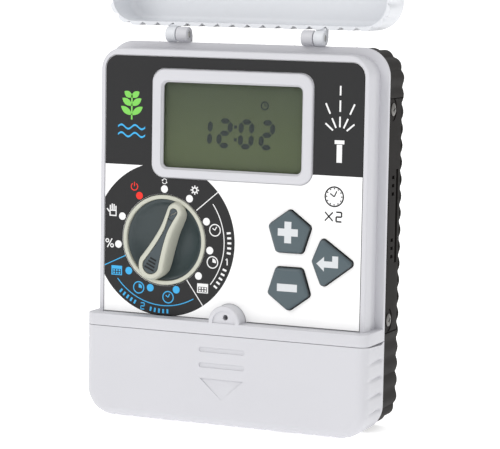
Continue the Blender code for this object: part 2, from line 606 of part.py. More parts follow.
# ---------------------------------------------------------------- keys
def build_keys():
    """Each key drops through the panel from behind and stops on its flange; its post works a switch."""
    for name, (corners, centre) in key_outlines().items():
        cap = filleted(corners, KEY_CORNER)
        flange = filleted(grown(corners, KEY_FLANGE + KEY_GAP), KEY_CORNER + KEY_FLANGE)
        bevelled = filleted(grown(corners, -KEY_BEVEL), KEY_CORNER - 0.8)
        post = circle_round(cap, centre, 2.2)
        flange_front = PANEL_WALL_BACK_Y + GAP
        flange_back = flange_front + 1.2
        key = loft("key", [(post, PLUNGER_FRONT_Y - GAP), (post, flange_back), (flange, flange_back),
                           (flange, flange_front), (cap, flange_front), (cap, KEY_TOP_Y + KEY_BEVEL_HEIGHT),
                           (bevelled, KEY_TOP_Y)])
        set_origin(finish(key, name + "_button", KEY_GREY, 0.4), (centre[0], 0, centre[1]))

        spans = [(c - SWITCH_HALF, c + SWITCH_HALF) for c in centre]
        switch = box("switch", spans[0], (BOARD_FRONT_Y - GAP, SWITCH_FRONT_Y), spans[1])
        cut(switch, cylinder("bore", centre, PLUNGER_RADIUS + GAP, (-28.5, -36.0), sides=16))
        finish(switch, name + "_switch", CHIP_BLACK, 0.5)
        plunger = cylinder("plunger", centre, PLUNGER_RADIUS, (-30.0, PLUNGER_FRONT_Y), sides=16)
        finish(plunger, name + "_switch_plunger", (0.35, 0.30, 0.22), 0.5)
        set_origin(plunger, (centre[0], 0, centre[1]))


# ---------------------------------------------------------------- electronics
def build_board():
    board = box("board", (-BOARD_HALF_WIDTH, BOARD_HALF_WIDTH), (BOARD_FRONT_Y, BOARD_BACK_Y),
                (BOARD_LOW, BOARD_HIGH))
    for x, z in BOARD_SCREWS:
        cut(board, cylinder("hole", (x, z), 1.7, (-20, -30), sides=16))
    finish(board, "main_board", BOARD_GREEN, 0.4)
    for i, (x, z) in enumerate(BOARD_SCREWS, 1):
        head_y = BOARD_BACK_Y + GAP
        profile = [(0.0, -34.5), (1.2, -34.5), (1.2, head_y), (2.9, head_y), (2.5, head_y + 1.8),
                   (0.0, head_y + 1.8)]
        finish(turned("screw", profile, (x, 0, z), 16), "board_screw_%d" % i, STEEL, 0.3, 1.0)


def build_board_parts():
    """What sits on the back of the board."""
    seat = BOARD_BACK_Y + GAP
    finish(box("chip", (-8.0, 8.0), (seat, seat + 1.8), (22.0, 38.0)), "control_chip", CHIP_BLACK, 0.4)
    can = [(0.0, seat), (5.0, seat), (5.0, seat + 11.2), (4.5, seat + 11.8), (0.0, seat + 11.8)]
    finish(turned("can", can, (30.0, 0, -18.0), 24), "smoothing_capacitor", (0.05, 0.07, 0.16), 0.35)
    finish(box("fuse", (38.0, 52.0), (seat, seat + 6.0), (-4.0, 2.0)), "fuse", (0.70, 0.68, 0.58), 0.3)
    for i in range(4):
        x = -52.0 + 9.0 * i
        finish(box("driver", (x - 3.2, x + 3.2), (seat, seat + 4.4), (-33.0, -24.0)),
               "valve_driver_%d" % (i + 1), CHIP_BLACK, 0.45)
    battery_x, battery_z = 40.0, 62.0
    holder = cylinder("holder", (battery_x, battery_z), 12.5, (seat, seat + 5.0), sides=32)
    well = (seat + 1.0, seat + 9.0)
    cut(holder, cylinder("well", (battery_x, battery_z), 10.4, well, sides=32),
        box("thumb", (battery_x - 4, battery_x + 4), well, (battery_z + 5, battery_z + 15)))
    finish(holder, "battery_holder", (0.06, 0.06, 0.06), 0.5)
    finish(cylinder("cell", (battery_x, battery_z), 10.0, (seat + 1.0 + GAP, seat + 4.5), sides=32),
           "backup_battery", STEEL, 0.25, 1.0)


def build_terminals():
    """Screw block in the bay: a hole for a wire below each screw."""
    back, front, low, high = FLANGE_FRONT_Y - GAP, -38.0, -78.0, -62.0
    half = TERMINALS * TERMINAL_PITCH / 2 + 2.0
    block = box("block", (-half, half), (back, front), (low, high))
    cut(block, box("step", (-half - 1, half + 1), (-34.0, front - 1), (low - 1, -72.0)))
    for i in range(TERMINALS):
        x = (i - (TERMINALS - 1) / 2) * TERMINAL_PITCH
        cut(block, box("wire_way", (x - 2.3, x + 2.3), (-27.5, -32.1), (low - 1, -69.0)),
            cylinder("screw_way", (x, TERMINAL_SCREW_Z), 2.9, (-31.0, front - 1), sides=16))
        screw = [(0.0, -31.3), (2.5, -31.3), (2.5, -35.0), (2.2, -35.4), (0.0, -35.4)]
        finish(turned("screw", screw, (x, 0, TERMINAL_SCREW_Z), 16), "terminal_screw_%d" % (i + 1),
               STEEL, 0.3, 1.0)
    finish(block, "terminal_block", (0.02, 0.22, 0.10), 0.4)


# ---------------------------------------------------------------- rear shell
def build_rear_case():
    """Deep black shell with recessed sides, screw tubes and a keyhole for a wall screw."""
    outline = rounded_box(REAR_HALF_WIDTH, REAR_BOTTOM, REAR_TOP, REAR_CORNER, REAR_CORNER)
    case = prism("rear", outline, 0.0, REAR_FRONT_Y)
    inside = rounded_box(REAR_HALF_WIDTH - REAR_WALL, REAR_BOTTOM + REAR_WALL, REAR_TOP - REAR_WALL,
                         REAR_CORNER - REAR_WALL, REAR_CORNER - REAR_WALL)
    cut(case, prism("inside", inside, -2.5, REAR_FRONT_Y - 5))
    for side in (-1, 1):
        cut(case, box("plate_seat", (side * (REAR_HALF_WIDTH - PLATE_DEPTH), side * 90),
                      (PLATE_BACK_Y + GAP, PLATE_FRONT_Y - GAP), (PLATE_LOW - GAP, PLATE_HIGH + GAP)))
    for x, z in CASE_SCREWS:
        add(case, cylinder("tube", (x, z), 4.5, (-1.0, REAR_FRONT_Y), sides=16))
        cut(case, cylinder("head_way", (x, z), 3.4, (5.0, -16.0), sides=16),
            cylinder("shank_way", (x, z), 1.8, (5.0, -30.0), sides=16))
    for side in (-1, 1):
        for y, z in SIDE_SCREWS:
            reach = (side * 69.0, side * (REAR_HALF_WIDTH - 2.4))
            add(case, cylinder("side_boss", (y, z), 4.0, reach, "X", 16))
            cut(case, cylinder("side_pilot", (y, z), 1.7, (side * 70.5, side * 90), "X", 12))
    add(case, box("hood", (-7.5, 7.5), (-1.0, -7.0), (KEYHOLE_Z - 7.5, KEYHOLE_Z + 15.0)))
    cut(case, box("hood_inside", (-5.5, 5.5), (-2.5, -5.2), (KEYHOLE_Z - 5.5, KEYHOLE_Z + 13.0)),
        cylinder("keyhole", (0, KEYHOLE_Z), 4.5, (5, -3.5), sides=24),
        box("keyhole_slot", (-2.2, 2.2), (5, -3.5), (KEYHOLE_Z, KEYHOLE_Z + 10.0)),
        cylinder("keyhole_end", (0, KEYHOLE_Z + 10.0), 2.2, (5, -3.5), sides=16))
    for x, z in WALL_SCREWS:
        add(case, cylinder("wall_tube", (x, z), WALL_SCREW_HOLE + 2.1, (-1.0, REAR_FRONT_Y), sides=16))
        cut(case, cylinder("wall_screw", (x, z), WALL_SCREW_HOLE, (5, -30), sides=16))
    return finish(case, "rear_case", WARM_BLACK, 0.6)


def build_seal():
    """Rubber ring just inside the rear case's wall, against the back of the front housing's flange."""
    outlines = []
    for edge in (REAR_WALL + GAP, REAR_WALL + GAP + 1.4):
        outlines.append(rounded_box(REAR_HALF_WIDTH - edge, REAR_BOTTOM + edge, REAR_TOP - edge,
                                    REAR_CORNER - edge, REAR_CORNER - edge))
    seal = prism("seal", outlines[0], REAR_FRONT_Y + 1.6, REAR_FRONT_Y)
    cut(seal, prism("hole", outlines[1], REAR_FRONT_Y + 5, REAR_FRONT_Y - 5))
    finish(seal, "case_seal", (0.04, 0.04, 0.04), 0.8)


def build_side_plates():
    """Flat plate let into each side of the rear case, with two long slots and a row of square windows."""
    for word, side in (("left", -1), ("right", 1)):
        inner, outer = side * (REAR_HALF_WIDTH - PLATE_DEPTH + GAP), side * (REAR_HALF_WIDTH - 0.3)
        plate = box("plate", (inner, outer), (PLATE_BACK_Y, PLATE_FRONT_Y), (PLATE_LOW, PLATE_HIGH))
        through = (side * 70, side * 90)
        for y in (-21.0, -6.0):
            cut(plate, box("slot", through, (y - 0.6, y + 0.6), (-12.4, 37.7)))
        for z in (33.6, 29.2, 24.8, 0.2, -4.2, -8.6):
            cut(plate, box("window", through, (-13.6, -11.6), (z - 1.0, z + 1.0)))
        for i, (y, z) in enumerate(SIDE_SCREWS, 1):
            cut(plate, cylinder("screw_way", (y, z), 2.2, through, "X", 16))
            head = side * (REAR_HALF_WIDTH - 0.3 + GAP)
            profile = [(0.0, head - side * 9.5), (1.3, head - side * 9.5), (1.3, head - side * 1.2),
                       (1.8, head - side * 1.2), (1.8, head), (3.4, head), (3.4, head + side * 0.25),
                       (2.6, head + side * 0.6), (0.0, head + side * 0.6)]
            screw = turned("screw", profile, (0, y, z), 16, "X")
            finish(screw, "side_screw_%s_%d" % (word, i), STEEL, 0.3, 1.0)
        finish(plate, "side_plate_" + word, WARM_BLACK, 0.55)


def build_case_screws():
    for i, (x, z) in enumerate(CASE_SCREWS, 1):
        head = -16.0 + GAP
        profile = [(0.0, -34.0), (1.35, -34.0), (1.35, head), (3.0, head), (2.7, head + 2.2),
                   (0.0, head + 2.2)]
        finish(turned("screw", profile, (x, 0, z), 16), "case_screw_%d" % i, STEEL, 0.3, 1.0)


def build_grommets():
    """Rubber rings that line the two cable holes in the floor of the bay."""
    floor_low, floor_high = BAY_BOTTOM, BAY_BOTTOM + 2.0
    for word, x in GROMMETS.items():
        profile = [(4.2, floor_low - 1.6), (7.2, floor_low - 1.6), (7.2, floor_low - GAP),
                   (6.0, floor_low - GAP), (6.0, floor_high + GAP), (7.6, floor_high + GAP),
                   (7.2, floor_high + 1.8), (4.2, floor_high + 1.8)]
        ring = turned("grommet", profile, (x, GROMMET_Y, 0), 24, "Z")
        finish(ring, "cable_grommet_" + word, (0.05, 0.05, 0.05), 0.85)


for old in list(bpy.data.objects):
    bpy.data.objects.remove(old, do_unlink=True)
build_rear_case()
build_seal()
build_front_housing()
build_label()
build_display()
build_lid()
build_hinge_pins()
build_terminal_cover()
build_dial()
build_rotary_switch()
build_keys()
build_board()
build_board_parts()
build_terminals()
build_side_plates()
build_case_screws()
build_grommets()
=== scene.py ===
import math
import bpy
from mathutils import Matrix, Vector


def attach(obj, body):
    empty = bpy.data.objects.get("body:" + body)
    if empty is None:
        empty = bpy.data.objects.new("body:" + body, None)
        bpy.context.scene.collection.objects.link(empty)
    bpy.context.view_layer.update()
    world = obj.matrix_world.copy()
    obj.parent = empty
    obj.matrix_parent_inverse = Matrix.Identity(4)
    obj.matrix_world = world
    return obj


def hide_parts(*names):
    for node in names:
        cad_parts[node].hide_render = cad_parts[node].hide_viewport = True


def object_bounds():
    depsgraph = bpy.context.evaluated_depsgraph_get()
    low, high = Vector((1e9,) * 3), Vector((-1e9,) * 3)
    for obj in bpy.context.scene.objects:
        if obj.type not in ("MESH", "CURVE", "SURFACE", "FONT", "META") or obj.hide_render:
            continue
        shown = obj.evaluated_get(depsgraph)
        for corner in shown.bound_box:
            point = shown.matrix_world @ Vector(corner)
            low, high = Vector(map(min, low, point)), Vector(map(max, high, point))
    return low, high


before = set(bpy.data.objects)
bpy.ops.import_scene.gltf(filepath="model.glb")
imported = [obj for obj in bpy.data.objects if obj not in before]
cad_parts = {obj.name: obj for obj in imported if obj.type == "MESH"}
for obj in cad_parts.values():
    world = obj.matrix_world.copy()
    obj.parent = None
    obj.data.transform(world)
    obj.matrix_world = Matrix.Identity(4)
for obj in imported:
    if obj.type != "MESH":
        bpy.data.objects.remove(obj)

cadBox = [list(corner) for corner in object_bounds()]
mm = 0.001
print("frame loaded")


# picking and editing, as by hand in edit mode; every rule gets its places in millimetres

def deselectAll():
    if bpy.context.object and bpy.context.object.mode != "OBJECT":
        bpy.ops.object.mode_set(mode="OBJECT")
    bpy.ops.object.select_all(action="DESELECT")


def onlyActive(piece):
    deselectAll()
    piece.select_set(True)
    bpy.context.view_layer.objects.active = piece


def pick(piece, kind, rule):
    # a rule sees an edge's two ends, or a face's centre and normal
    onlyActive(piece)
    mesh = piece.data
    for group in (mesh.vertices, mesh.edges, mesh.polygons):
        group.foreach_set("select", [False] * len(group))
    if kind == "EDGE":
        places = [point.co / mm for point in mesh.vertices]
        for edge in mesh.edges:
            edge.select = rule(places[edge.vertices[0]], places[edge.vertices[1]])
    else:
        for face in mesh.polygons:
            face.select = rule(face.center / mm, face.normal)
    bpy.context.tool_settings.mesh_select_mode = (False, kind == "EDGE", kind == "FACE")
    bpy.ops.object.mode_set(mode="EDIT")


def pickAll(piece):
    pick(piece, "FACE", lambda centre, normal: True)


def leaveEdit():
    bpy.ops.object.mode_set(mode="OBJECT")


def bevelEdges(piece, rule, size, steps=4, profile=0.5):
    pick(piece, "EDGE", rule)
    bpy.ops.mesh.bevel(offset=size * mm, segments=steps, profile=profile, affect="EDGES", clamp_overlap=False)
    leaveEdit()


def keepSide(piece, z, above):
    pickAll(piece)
    bpy.ops.mesh.bisect(plane_co=(0, 0, z * mm), plane_no=(0, 0, 1), use_fill=True,
                        clear_inner=above, clear_outer=not above)
    leaveEdit()


def runModifier(piece, kind, **settings):
    onlyActive(piece)
    modifier = piece.modifiers.new("step", kind)
    for name, value in settings.items():
        setattr(modifier, name, value)
    bpy.ops.object.modifier_apply(modifier=modifier.name)


def combine(piece, tool, operation):
    runModifier(piece, "BOOLEAN", operation=operation, solver="MANIFOLD", object=tool)
    bpy.data.objects.remove(tool, do_unlink=True)


def take(piece, *tools):
    for tool in tools:
        combine(piece, tool, "DIFFERENCE")


def add(piece, *tools):
    for tool in tools:
        combine(piece, tool, "UNION")


def joinAll(pieces):
    onlyActive(pieces[0])
    for piece in pieces[1:]:
        piece.select_set(True)
    bpy.ops.object.join()
    return pieces[0]


def shift(piece, x=0.0, y=0.0, z=0.0):
    piece.data.transform(Matrix.Translation(Vector((x, y, z)) * mm))
    return piece


def turned(piece, degrees, centre, axis="Y"):
    # turns the mesh itself about a point in millimetres
    point = Vector(centre) * mm
    turn = Matrix.Rotation(math.radians(degrees), 4, axis)
    piece.data.transform(Matrix.Translation(point) @ turn @ Matrix.Translation(-point))
    return piece


def applyPlace(piece):
    onlyActive(piece)
    bpy.ops.object.transform_apply(location=True, rotation=True, scale=True)


# starting shapes

def block(name, x, y, z):
    spans = [sorted(x), sorted(y), sorted(z)]
    bpy.ops.mesh.primitive_cube_add(size=1.0, location=[(low + high) / 2 * mm for low, high in spans])
    piece = bpy.context.object
    piece.name = name
    piece.scale = [(high - low) * mm for low, high in spans]
    applyPlace(piece)
    return piece


axisTurns = {"X": (0, math.pi / 2, 0), "Y": (math.pi / 2, 0, 0), "Z": (0, 0, 0)}


def rod(name, centre, radius, span, axis="Y", sides=48):
    # centre is given in the two directions across the axis
    low, high = sorted(span)
    where = list(centre)
    where.insert("XYZ".index(axis), (low + high) / 2)
    bpy.ops.mesh.primitive_cylinder_add(vertices=sides, radius=radius * mm, depth=(high - low) * mm,
                                        location=Vector(where) * mm, rotation=axisTurns[axis])
    piece = bpy.context.object
    piece.name = name
    applyPlace(piece)
    return piece


def same(a, b):
    # whether two distances in millimetres agree
    return abs(a - b) < 0.01


def alongY(a, b):
    return same(a.x, b.x) and same(a.z, b.z)


def atY(y):
    return lambda a, b: same(a.y, y) and same(b.y, y)


def panel(name, halfWidth, y, low, high, lowCorner, highCorner, steps=10, x=0.0):
    # upright slab with its corners rounded as seen from the front
    piece = block(name, (x - halfWidth, x + halfWidth), y, (low, high))
    for height, corner in ((low, lowCorner), (high, highCorner)):
        if corner > 0:
            bevelEdges(piece, lambda a, b: alongY(a, b) and same(a.z, height), corner, steps)
    return piece


def roundAtY(piece, y, size, steps=5, profile=0.5):
    bevelEdges(piece, atY(y), size, steps, profile)


def ringPlan(name, count):
    # a flat ring of edges with its corners still to be set
    deselectAll()
    bpy.ops.mesh.primitive_circle_add(vertices=count, radius=mm, fill_type="NGON")
    piece = bpy.context.object
    piece.name = name
    return piece


def stack(name, rings):
    # an outline drawn at the first depth and extruded from ring to ring; each ring is (points, y)
    points, y = rings[0]
    piece = ringPlan(name, len(points))
    for corner, (x, z) in zip(piece.data.vertices, points):
        corner.co = Vector((x, y, z)) * mm
    pickAll(piece)
    for nextPoints, nextY in rings[1:]:
        bpy.ops.mesh.extrude_region_move()
        leaveEdit()
        for corner in piece.data.vertices:
            if corner.select:
                x, z = corner.co.x / mm, corner.co.z / mm
                match = min(range(len(points)), key=lambda i: abs(points[i][0] - x) + abs(points[i][1] - z))
                x, z = nextPoints[match]
                corner.co = Vector((x, nextY, z)) * mm
        points = nextPoints
        bpy.ops.object.mode_set(mode="EDIT")
    bpy.ops.mesh.select_all(action="SELECT")
    bpy.ops.mesh.normals_make_consistent(inside=False)
    leaveEdit()
    return piece


def prism(name, points, start, end):
    return stack(name, [(points, start), (points, end)])


def lathe(name, profile, centre, steps=48, axis="Y"):
    # an outline of (radius, distance) spun about an axis; it may start and end on the axis
    along, out = {"X": (Vector((1, 0, 0)), Vector((0, 0, 1))), "Y": (Vector((0, 1, 0)), Vector((1, 0, 0))),
                  "Z": (Vector((0, 0, 1)), Vector((1, 0, 0)))}[axis]
    start = Vector(centre) * mm
    piece = ringPlan(name, len(profile))
    for corner, (radius, distance) in zip(piece.data.vertices, profile):
        corner.co = start + (out * radius + along * distance) * mm
    pickAll(piece)
    bpy.ops.mesh.delete(type="ONLY_FACE")
    leaveEdit()
    pick(piece, "EDGE", lambda a, b: max((a - start / mm).dot(out), (b - start / mm).dot(out)) > 0.001)
    bpy.ops.mesh.spin(steps=steps, angle=2 * math.pi, center=start, axis=along, use_auto_merge=True)
    bpy.ops.mesh.select_all(action="SELECT")
    bpy.ops.mesh.remove_doubles(threshold=0.001 * mm)
    bpy.ops.mesh.delete_loose()
    bpy.ops.mesh.select_all(action="SELECT")
    bpy.ops.mesh.normals_make_consistent(inside=False)
    leaveEdit()
    return piece


# outlines as (x, z)

def arcPoints(x, z, radius, start, end, steps):
    turn = math.radians(end - start) / steps
    first = math.radians(start)
    return [(x + radius * math.cos(first + turn * i), z + radius * math.sin(first + turn * i))
            for i in range(steps + 1)]


def polar(x, z, radius, angle):
    turn = math.radians(angle)
    return x + radius * math.cos(turn), z + radius * math.sin(turn)


def grown(corners, distance):
    # a convex outline with every side moved out
    area = sum(a[0] * b[1] - b[0] * a[1] for a, b in zip(corners, corners[1:] + corners[:1]))
    out = math.copysign(1.0, area)
    moved = []
    for i, corner in enumerate(corners):
        before, after = Vector(corners[i - 1]), Vector(corners[(i + 1) % len(corners)])
        arriving, leaving = (Vector(corner) - before).normalized(), (after - Vector(corner)).normalized()
        first, second = Vector((arriving.y, -arriving.x)) * out, Vector((leaving.y, -leaving.x)) * out
        moved.append(tuple(Vector(corner) + (first + second) / (1 + first.dot(second)) * distance))
    return moved


def filleted(corners, radius, steps=6):
    # a convex outline with its corners rounded
    outline = []
    for i, corner in enumerate(corners):
        here = Vector(corner)
        toBefore = (Vector(corners[i - 1]) - here).normalized()
        toAfter = (Vector(corners[(i + 1) % len(corners)]) - here).normalized()
        half = toBefore.angle(toAfter) / 2
        centre = here + (toBefore + toAfter).normalized() * (radius / math.sin(half))
        start = here + toBefore * (radius / math.tan(half)) - centre
        turn = start.angle_signed(here + toAfter * (radius / math.tan(half)) - centre)
        for k in range(steps + 1):
            c, s = math.cos(-turn * k / steps), math.sin(-turn * k / steps)
            outline.append((centre.x + start.x * c - start.y * s, centre.y + start.x * s + start.y * c))
    return outline


# finishing

def place(piece, name, body, slot, material, replaced=None, angle=35):
    piece.name = name
    piece.data.name = name
    piece.data.materials.clear()
    piece.data.materials.append(material)
    onlyActive(piece)
    bpy.ops.object.shade_smooth_by_angle(angle=math.radians(angle))
    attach(piece, body)
    if replaced:
        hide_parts(replaced)
    return piece


# shader maths

class Wire:
    # a socket that adds its own Math nodes
    def __init__(self, tree, socket):
        self.tree = tree
        self.socket = socket

    def math(self, operation, *values):
        return self.tree.node("ShaderNodeMath", {"operation": operation}, list(values))

    def __add__(self, other):
        return self.math("ADD", self, other)

    def __radd__(self, other):
        return self.math("ADD", other, self)

    def __sub__(self, other):
        return self.math("SUBTRACT", self, other)

    def __rsub__(self, other):
        return self.math("SUBTRACT", other, self)

    def __mul__(self, other):
        return self.math("MULTIPLY", self, other)

    def __rmul__(self, other):
        return self.math("MULTIPLY", other, self)

    def __truediv__(self, other):
        return self.math("DIVIDE", self, other)

    def above(self, limit):
        return self.math("GREATER_THAN", self, limit)


class Shader:
    # one material: a Principled shader and whatever is wired to it
    def __init__(self, name, **constants):
        self.material = bpy.data.materials.new(name)
        self.material.use_nodes = True
        self.nodes = self.material.node_tree.nodes
        self.links = self.material.node_tree.links
        self.main = self.nodes["Principled BSDF"]
        for socket, value in constants.items():
            self.main.inputs[socket.replace("_", " ")].default_value = value

    def node(self, kind, settings=None, inputs=(), output=0):
        made = self.nodes.new(kind)
        for name, value in (settings or {}).items():
            setattr(made, name, value)
        pairs = inputs.items() if isinstance(inputs, dict) else enumerate(inputs)
        for key, value in pairs:
            if isinstance(value, Wire):
                self.links.new(value.socket, made.inputs[key])
            else:
                made.inputs[key].default_value = value
        return Wire(self, made.outputs[output])

    def feed(self, socket, wire):
        self.links.new(wire.socket, self.main.inputs[socket])

    def here(self):
        return self.node("ShaderNodeTexCoord", output="Object")

    def noise(self, scale, detail=3.0, roughness=0.5, vector=None):
        return self.node("ShaderNodeTexNoise", {}, {"Vector": vector or self.here(), "Scale": scale,
                                                    "Detail": detail, "Roughness": roughness})

    def mixColour(self, factor, first, second):
        # the colour sockets of a Mix node share their names with others, so they go by number
        return self.node("ShaderNodeMix", {"data_type": "RGBA"}, {0: factor, 6: first, 7: second}, 2)

    def ramp(self, axis, start, end):
        # 0 up to start and 1 from end on, along an axis of the object
        place = self.node("ShaderNodeSeparateXYZ", {}, {"Vector": self.here()}, "XYZ".index(axis))
        return self.node("ShaderNodeMapRange", {}, {"Value": place, "From Min": start, "From Max": end})

    def bump(self, height, strength, distance):
        shape = {"Strength": strength, "Distance": distance, "Height": height}
        self.feed("Normal", self.node("ShaderNodeBump", {}, shape, "Normal"))


def colour(red, green, blue):
    return (red, green, blue, 1.0)


def shade(base, factor):
    return (base[0] * factor, base[1] * factor, base[2] * factor, 1.0)


def mouldedPlastic(name, base, roughness, grain=1500.0, depth=0.02, drift=0.03, coat=0.0, shine=0.45):
    # spark-eroded mould grain, faint clouding and uneven polish
    look = Shader(name, Specular_IOR_Level=shine, Coat_Weight=coat, Coat_Roughness=0.15)
    clouds = look.noise(22.0, 4.0)
    look.feed("Base Color", look.mixColour(clouds, shade(base, 1 - drift), shade(base, 1 + drift)))
    fine = look.noise(grain, 2.0, 0.6)
    look.feed("Roughness", roughness + (look.noise(60.0, 3.0) - 0.5) * 0.10)
    look.bump(fine, 0.35, depth * mm)
    return look.material


def metal(name, base, roughness, brushed=900.0):
    # plated steel with turning marks and a few darker spots
    look = Shader(name, Metallic=1.0)
    spots = look.noise(260.0, 4.0, 0.6)
    look.feed("Base Color", look.mixColour(spots, shade(base, 0.75), base))
    look.feed("Roughness", roughness + (look.noise(180.0, 2.0) - 0.5) * 0.2)
    look.bump(look.noise(brushed, 2.0), 0.25, 0.02 * mm)
    return look.material


def ink(name, base, roughness=0.4):
    # screen-printed ink with a slightly uneven film
    look = Shader(name, Specular_IOR_Level=0.25)
    film = look.noise(300.0, 3.0)
    look.feed("Base Color", look.mixColour(film, shade(base, 0.94), base))
    look.feed("Roughness", roughness + (look.noise(700.0, 2.0) - 0.5) * 0.12)
    look.bump(film, 0.2, 0.005 * mm)
    return look.material


def rubber(name, base):
    look = Shader(name, Specular_IOR_Level=0.3)
    look.feed("Base Color", look.mixColour(look.noise(120.0), shade(base, 0.7), shade(base, 1.3)))
    look.feed("Roughness", 0.75 + (look.noise(400.0) - 0.5) * 0.2)
    look.bump(look.noise(1800.0), 0.5, 0.03 * mm)
    return look.material


housingLook = mouldedPlastic("housing light grey", colour(0.555, 0.555, 0.585), 0.46)
caseLook = mouldedPlastic("case warm black", colour(0.015, 0.0132, 0.012), 0.62, grain=900.0, depth=0.04,
                          drift=0.12, shine=0.12)
creamLook = mouldedPlastic("dial cream", colour(0.50, 0.505, 0.43), 0.36)
steelLook = metal("zinc plated steel", colour(0.36, 0.355, 0.34), 0.34)
rubberLook = rubber("black rubber", colour(0.020, 0.020, 0.020))
print("materials made")
# the lid gets a lighter copy of the housing grey: painted light that offsets the shade inside the open lid's
# walls
lidLightenedLook = mouldedPlastic("lid grey lightened as painted light", colour(0.67, 0.685, 0.715), 0.46)
plateLook = mouldedPlastic("plate matt black", colour(0.013, 0.0115, 0.0105), 0.66, grain=700.0, depth=0.05,
                           drift=0.15, shine=0.10)
# the side screws get a darker copy of the plated steel: painted shade for the dark surroundings their heads
# reflect
shadedScrewLook = metal("steel darkened as painted shade", colour(0.20, 0.195, 0.185), 0.42)
# black ink for the dial's grip ribs and the fine line at its tip; on the ribs it is painted shade for the
# dark grooves between them
gripShadeInk = ink("grip rib painted shade black", colour(0.008, 0.009, 0.010), 0.5)
labelLook = mouldedPlastic("label white film", colour(0.93, 0.93, 0.93), 0.35, grain=2200.0, depth=0.006,
                           drift=0.01)
darkInkAndShade = ink("dark ink and painted edge shade", colour(0.018, 0.018, 0.019), 0.45)
whiteInk = ink("white ink", colour(0.80, 0.80, 0.80))
blueInk = ink("blue ink", colour(0.05, 0.40, 0.75))
redInk = ink("red ink", colour(0.80, 0.03, 0.02))
greenInk = ink("green ink", colour(0.20, 0.58, 0.10))
dishLook = mouldedPlastic("dish slate", colour(0.025, 0.040, 0.044), 0.32, drift=0.10, coat=0.1)
inlayLook = mouldedPlastic("inlay slate", colour(0.045, 0.062, 0.070), 0.42, drift=0.08)
glyphInk = ink("key glyph grey", colour(0.62, 0.64, 0.66))
segmentLook = ink("liquid crystal on", colour(0.004, 0.010, 0.010), 0.6)


def windowMaterial():
    # clear acrylic: nearly transparent, with a film of reflection and faint dust
    look = Shader("clear window", Roughness=0.06, Specular_IOR_Level=0.08)
    dust = look.noise(40.0)
    look.feed("Base Color", look.mixColour(dust, colour(0.30, 0.34, 0.32), colour(0.34, 0.38, 0.36)))
    look.feed("Alpha", 0.03 + look.noise(30.0, 2.0) * 0.02)
    return look.material


def lcdMaterial():
    # olive reflector behind the crystal, with painted shadow darkening it under the frame's upper edge
    look = Shader("lcd olive", Roughness=0.5, Specular_IOR_Level=0.1)
    shadow = look.ramp("Z", 0.045, 0.084)
    grain = look.noise(900.0, 2.0)
    olive = look.mixColour(grain, colour(0.070, 0.087, 0.038), colour(0.077, 0.096, 0.045))
    look.feed("Base Color", look.mixColour(shadow, olive, colour(0.048, 0.060, 0.033)))
    return look.material


windowLook = windowMaterial()
lcdLook = lcdMaterial()
chipLook = mouldedPlastic("black mouldings", colour(0.018, 0.018, 0.020), 0.50, grain=1200.0, drift=0.15)
plungerLook = mouldedPlastic("plunger tan", colour(0.30, 0.24, 0.15), 0.45)
holderLook = mouldedPlastic("display holder white", colour(0.66, 0.66, 0.64), 0.50)
sleeveLook = mouldedPlastic("capacitor sleeve", colour(0.020, 0.030, 0.085), 0.35, drift=0.08)
terminalLook = mouldedPlastic("terminal green", colour(0.030, 0.210, 0.090), 0.42, drift=0.06)
contactLook = rubber("contact rubber", colour(0.10, 0.10, 0.11))


def boardMaterial():
    # green solder mask over faint copper tracks
    look = Shader("circuit board", Roughness=0.35)
    cells = look.node("ShaderNodeTexVoronoi", {"feature": "DISTANCE_TO_EDGE"},
                      {"Vector": look.here(), "Scale": 240.0})
    tracks = cells.above(0.09)
    base = look.mixColour(tracks, colour(0.050, 0.200, 0.070), colour(0.020, 0.120, 0.040))
    look.feed("Base Color", look.mixColour(look.noise(90.0) * 0.4, base, colour(0.012, 0.075, 0.028)))
    look.bump(tracks, 0.3, 0.03 * mm)
    return look.material


def fuseMaterial():
    # glass body between two plated caps
    look = Shader("fuse", Specular_IOR_Level=0.6)
    banding = look.noise(180.0, 2.0)
    look.feed("Base Color", look.mixColour(banding, colour(0.55, 0.57, 0.56), colour(0.72, 0.73, 0.72)))
    look.feed("Roughness", 0.14 + banding * 0.12)
    return look.material


boardLook = boardMaterial()
fuseLook = fuseMaterial()


def keyMaterial():
    # blue-grey cap whose side walls are darker than its top: painted shade
    look = Shader("key blue grey", Specular_IOR_Level=0.4)
    # painted shade: the cap turns near-black from its top down its side walls
    below = look.ramp("Y", -0.0442, -0.0437)
    top = look.mixColour(look.noise(22.0, 4.0), colour(0.068, 0.095, 0.108), colour(0.074, 0.102, 0.116))
    look.feed("Base Color", look.mixColour(below, top, colour(0.012, 0.017, 0.020)))
    look.feed("Roughness", 0.42 + (look.noise(60.0) - 0.5) * 0.1)
    look.bump(look.noise(1500.0, 2.0, 0.6), 0.35, 0.02 * mm)
    return look.material


keyLook = keyMaterial()


# the case seen from the front: sizes that several pieces share

case = {
    "halfWidth": 82.05, "top": 102.0, "corner": 15.1, "splitY": -23.15, "flangeY": -25.17,
    "surroundY": -42.3, "proudY": -50.23, "wall": 2.2, "gap": 0.3,
    "stripTop": -45.8, "seam": -52.66, "edgeRound": 5.5, "hinge": (-25.47, 106.2),
}
dialCentre, dialHole = (-39.1, -4.4), 25.0
keyGap, keyCorner, keyRadius = 0.5, 2.0, 12.65


def pentagon(x, z, start):
    # corners of a five-sided key, the first one at the start angle
    return [polar(x, z, keyRadius, start + 72 * i) for i in range(5)]


keyPlans = {  # corners and middle of each key, seen from the front
    "plus": (pentagon(34.9, 3.95, 90), (34.9, 3.95)),
    "minus": (pentagon(35.0, -24.6, -90), (35.0, -24.6)),
    "enter": ([(53.2, 2.9), (71.9, -9.95), (53.7, -23.7), (47.9, -9.8)], (56.8, -10.0)),
}


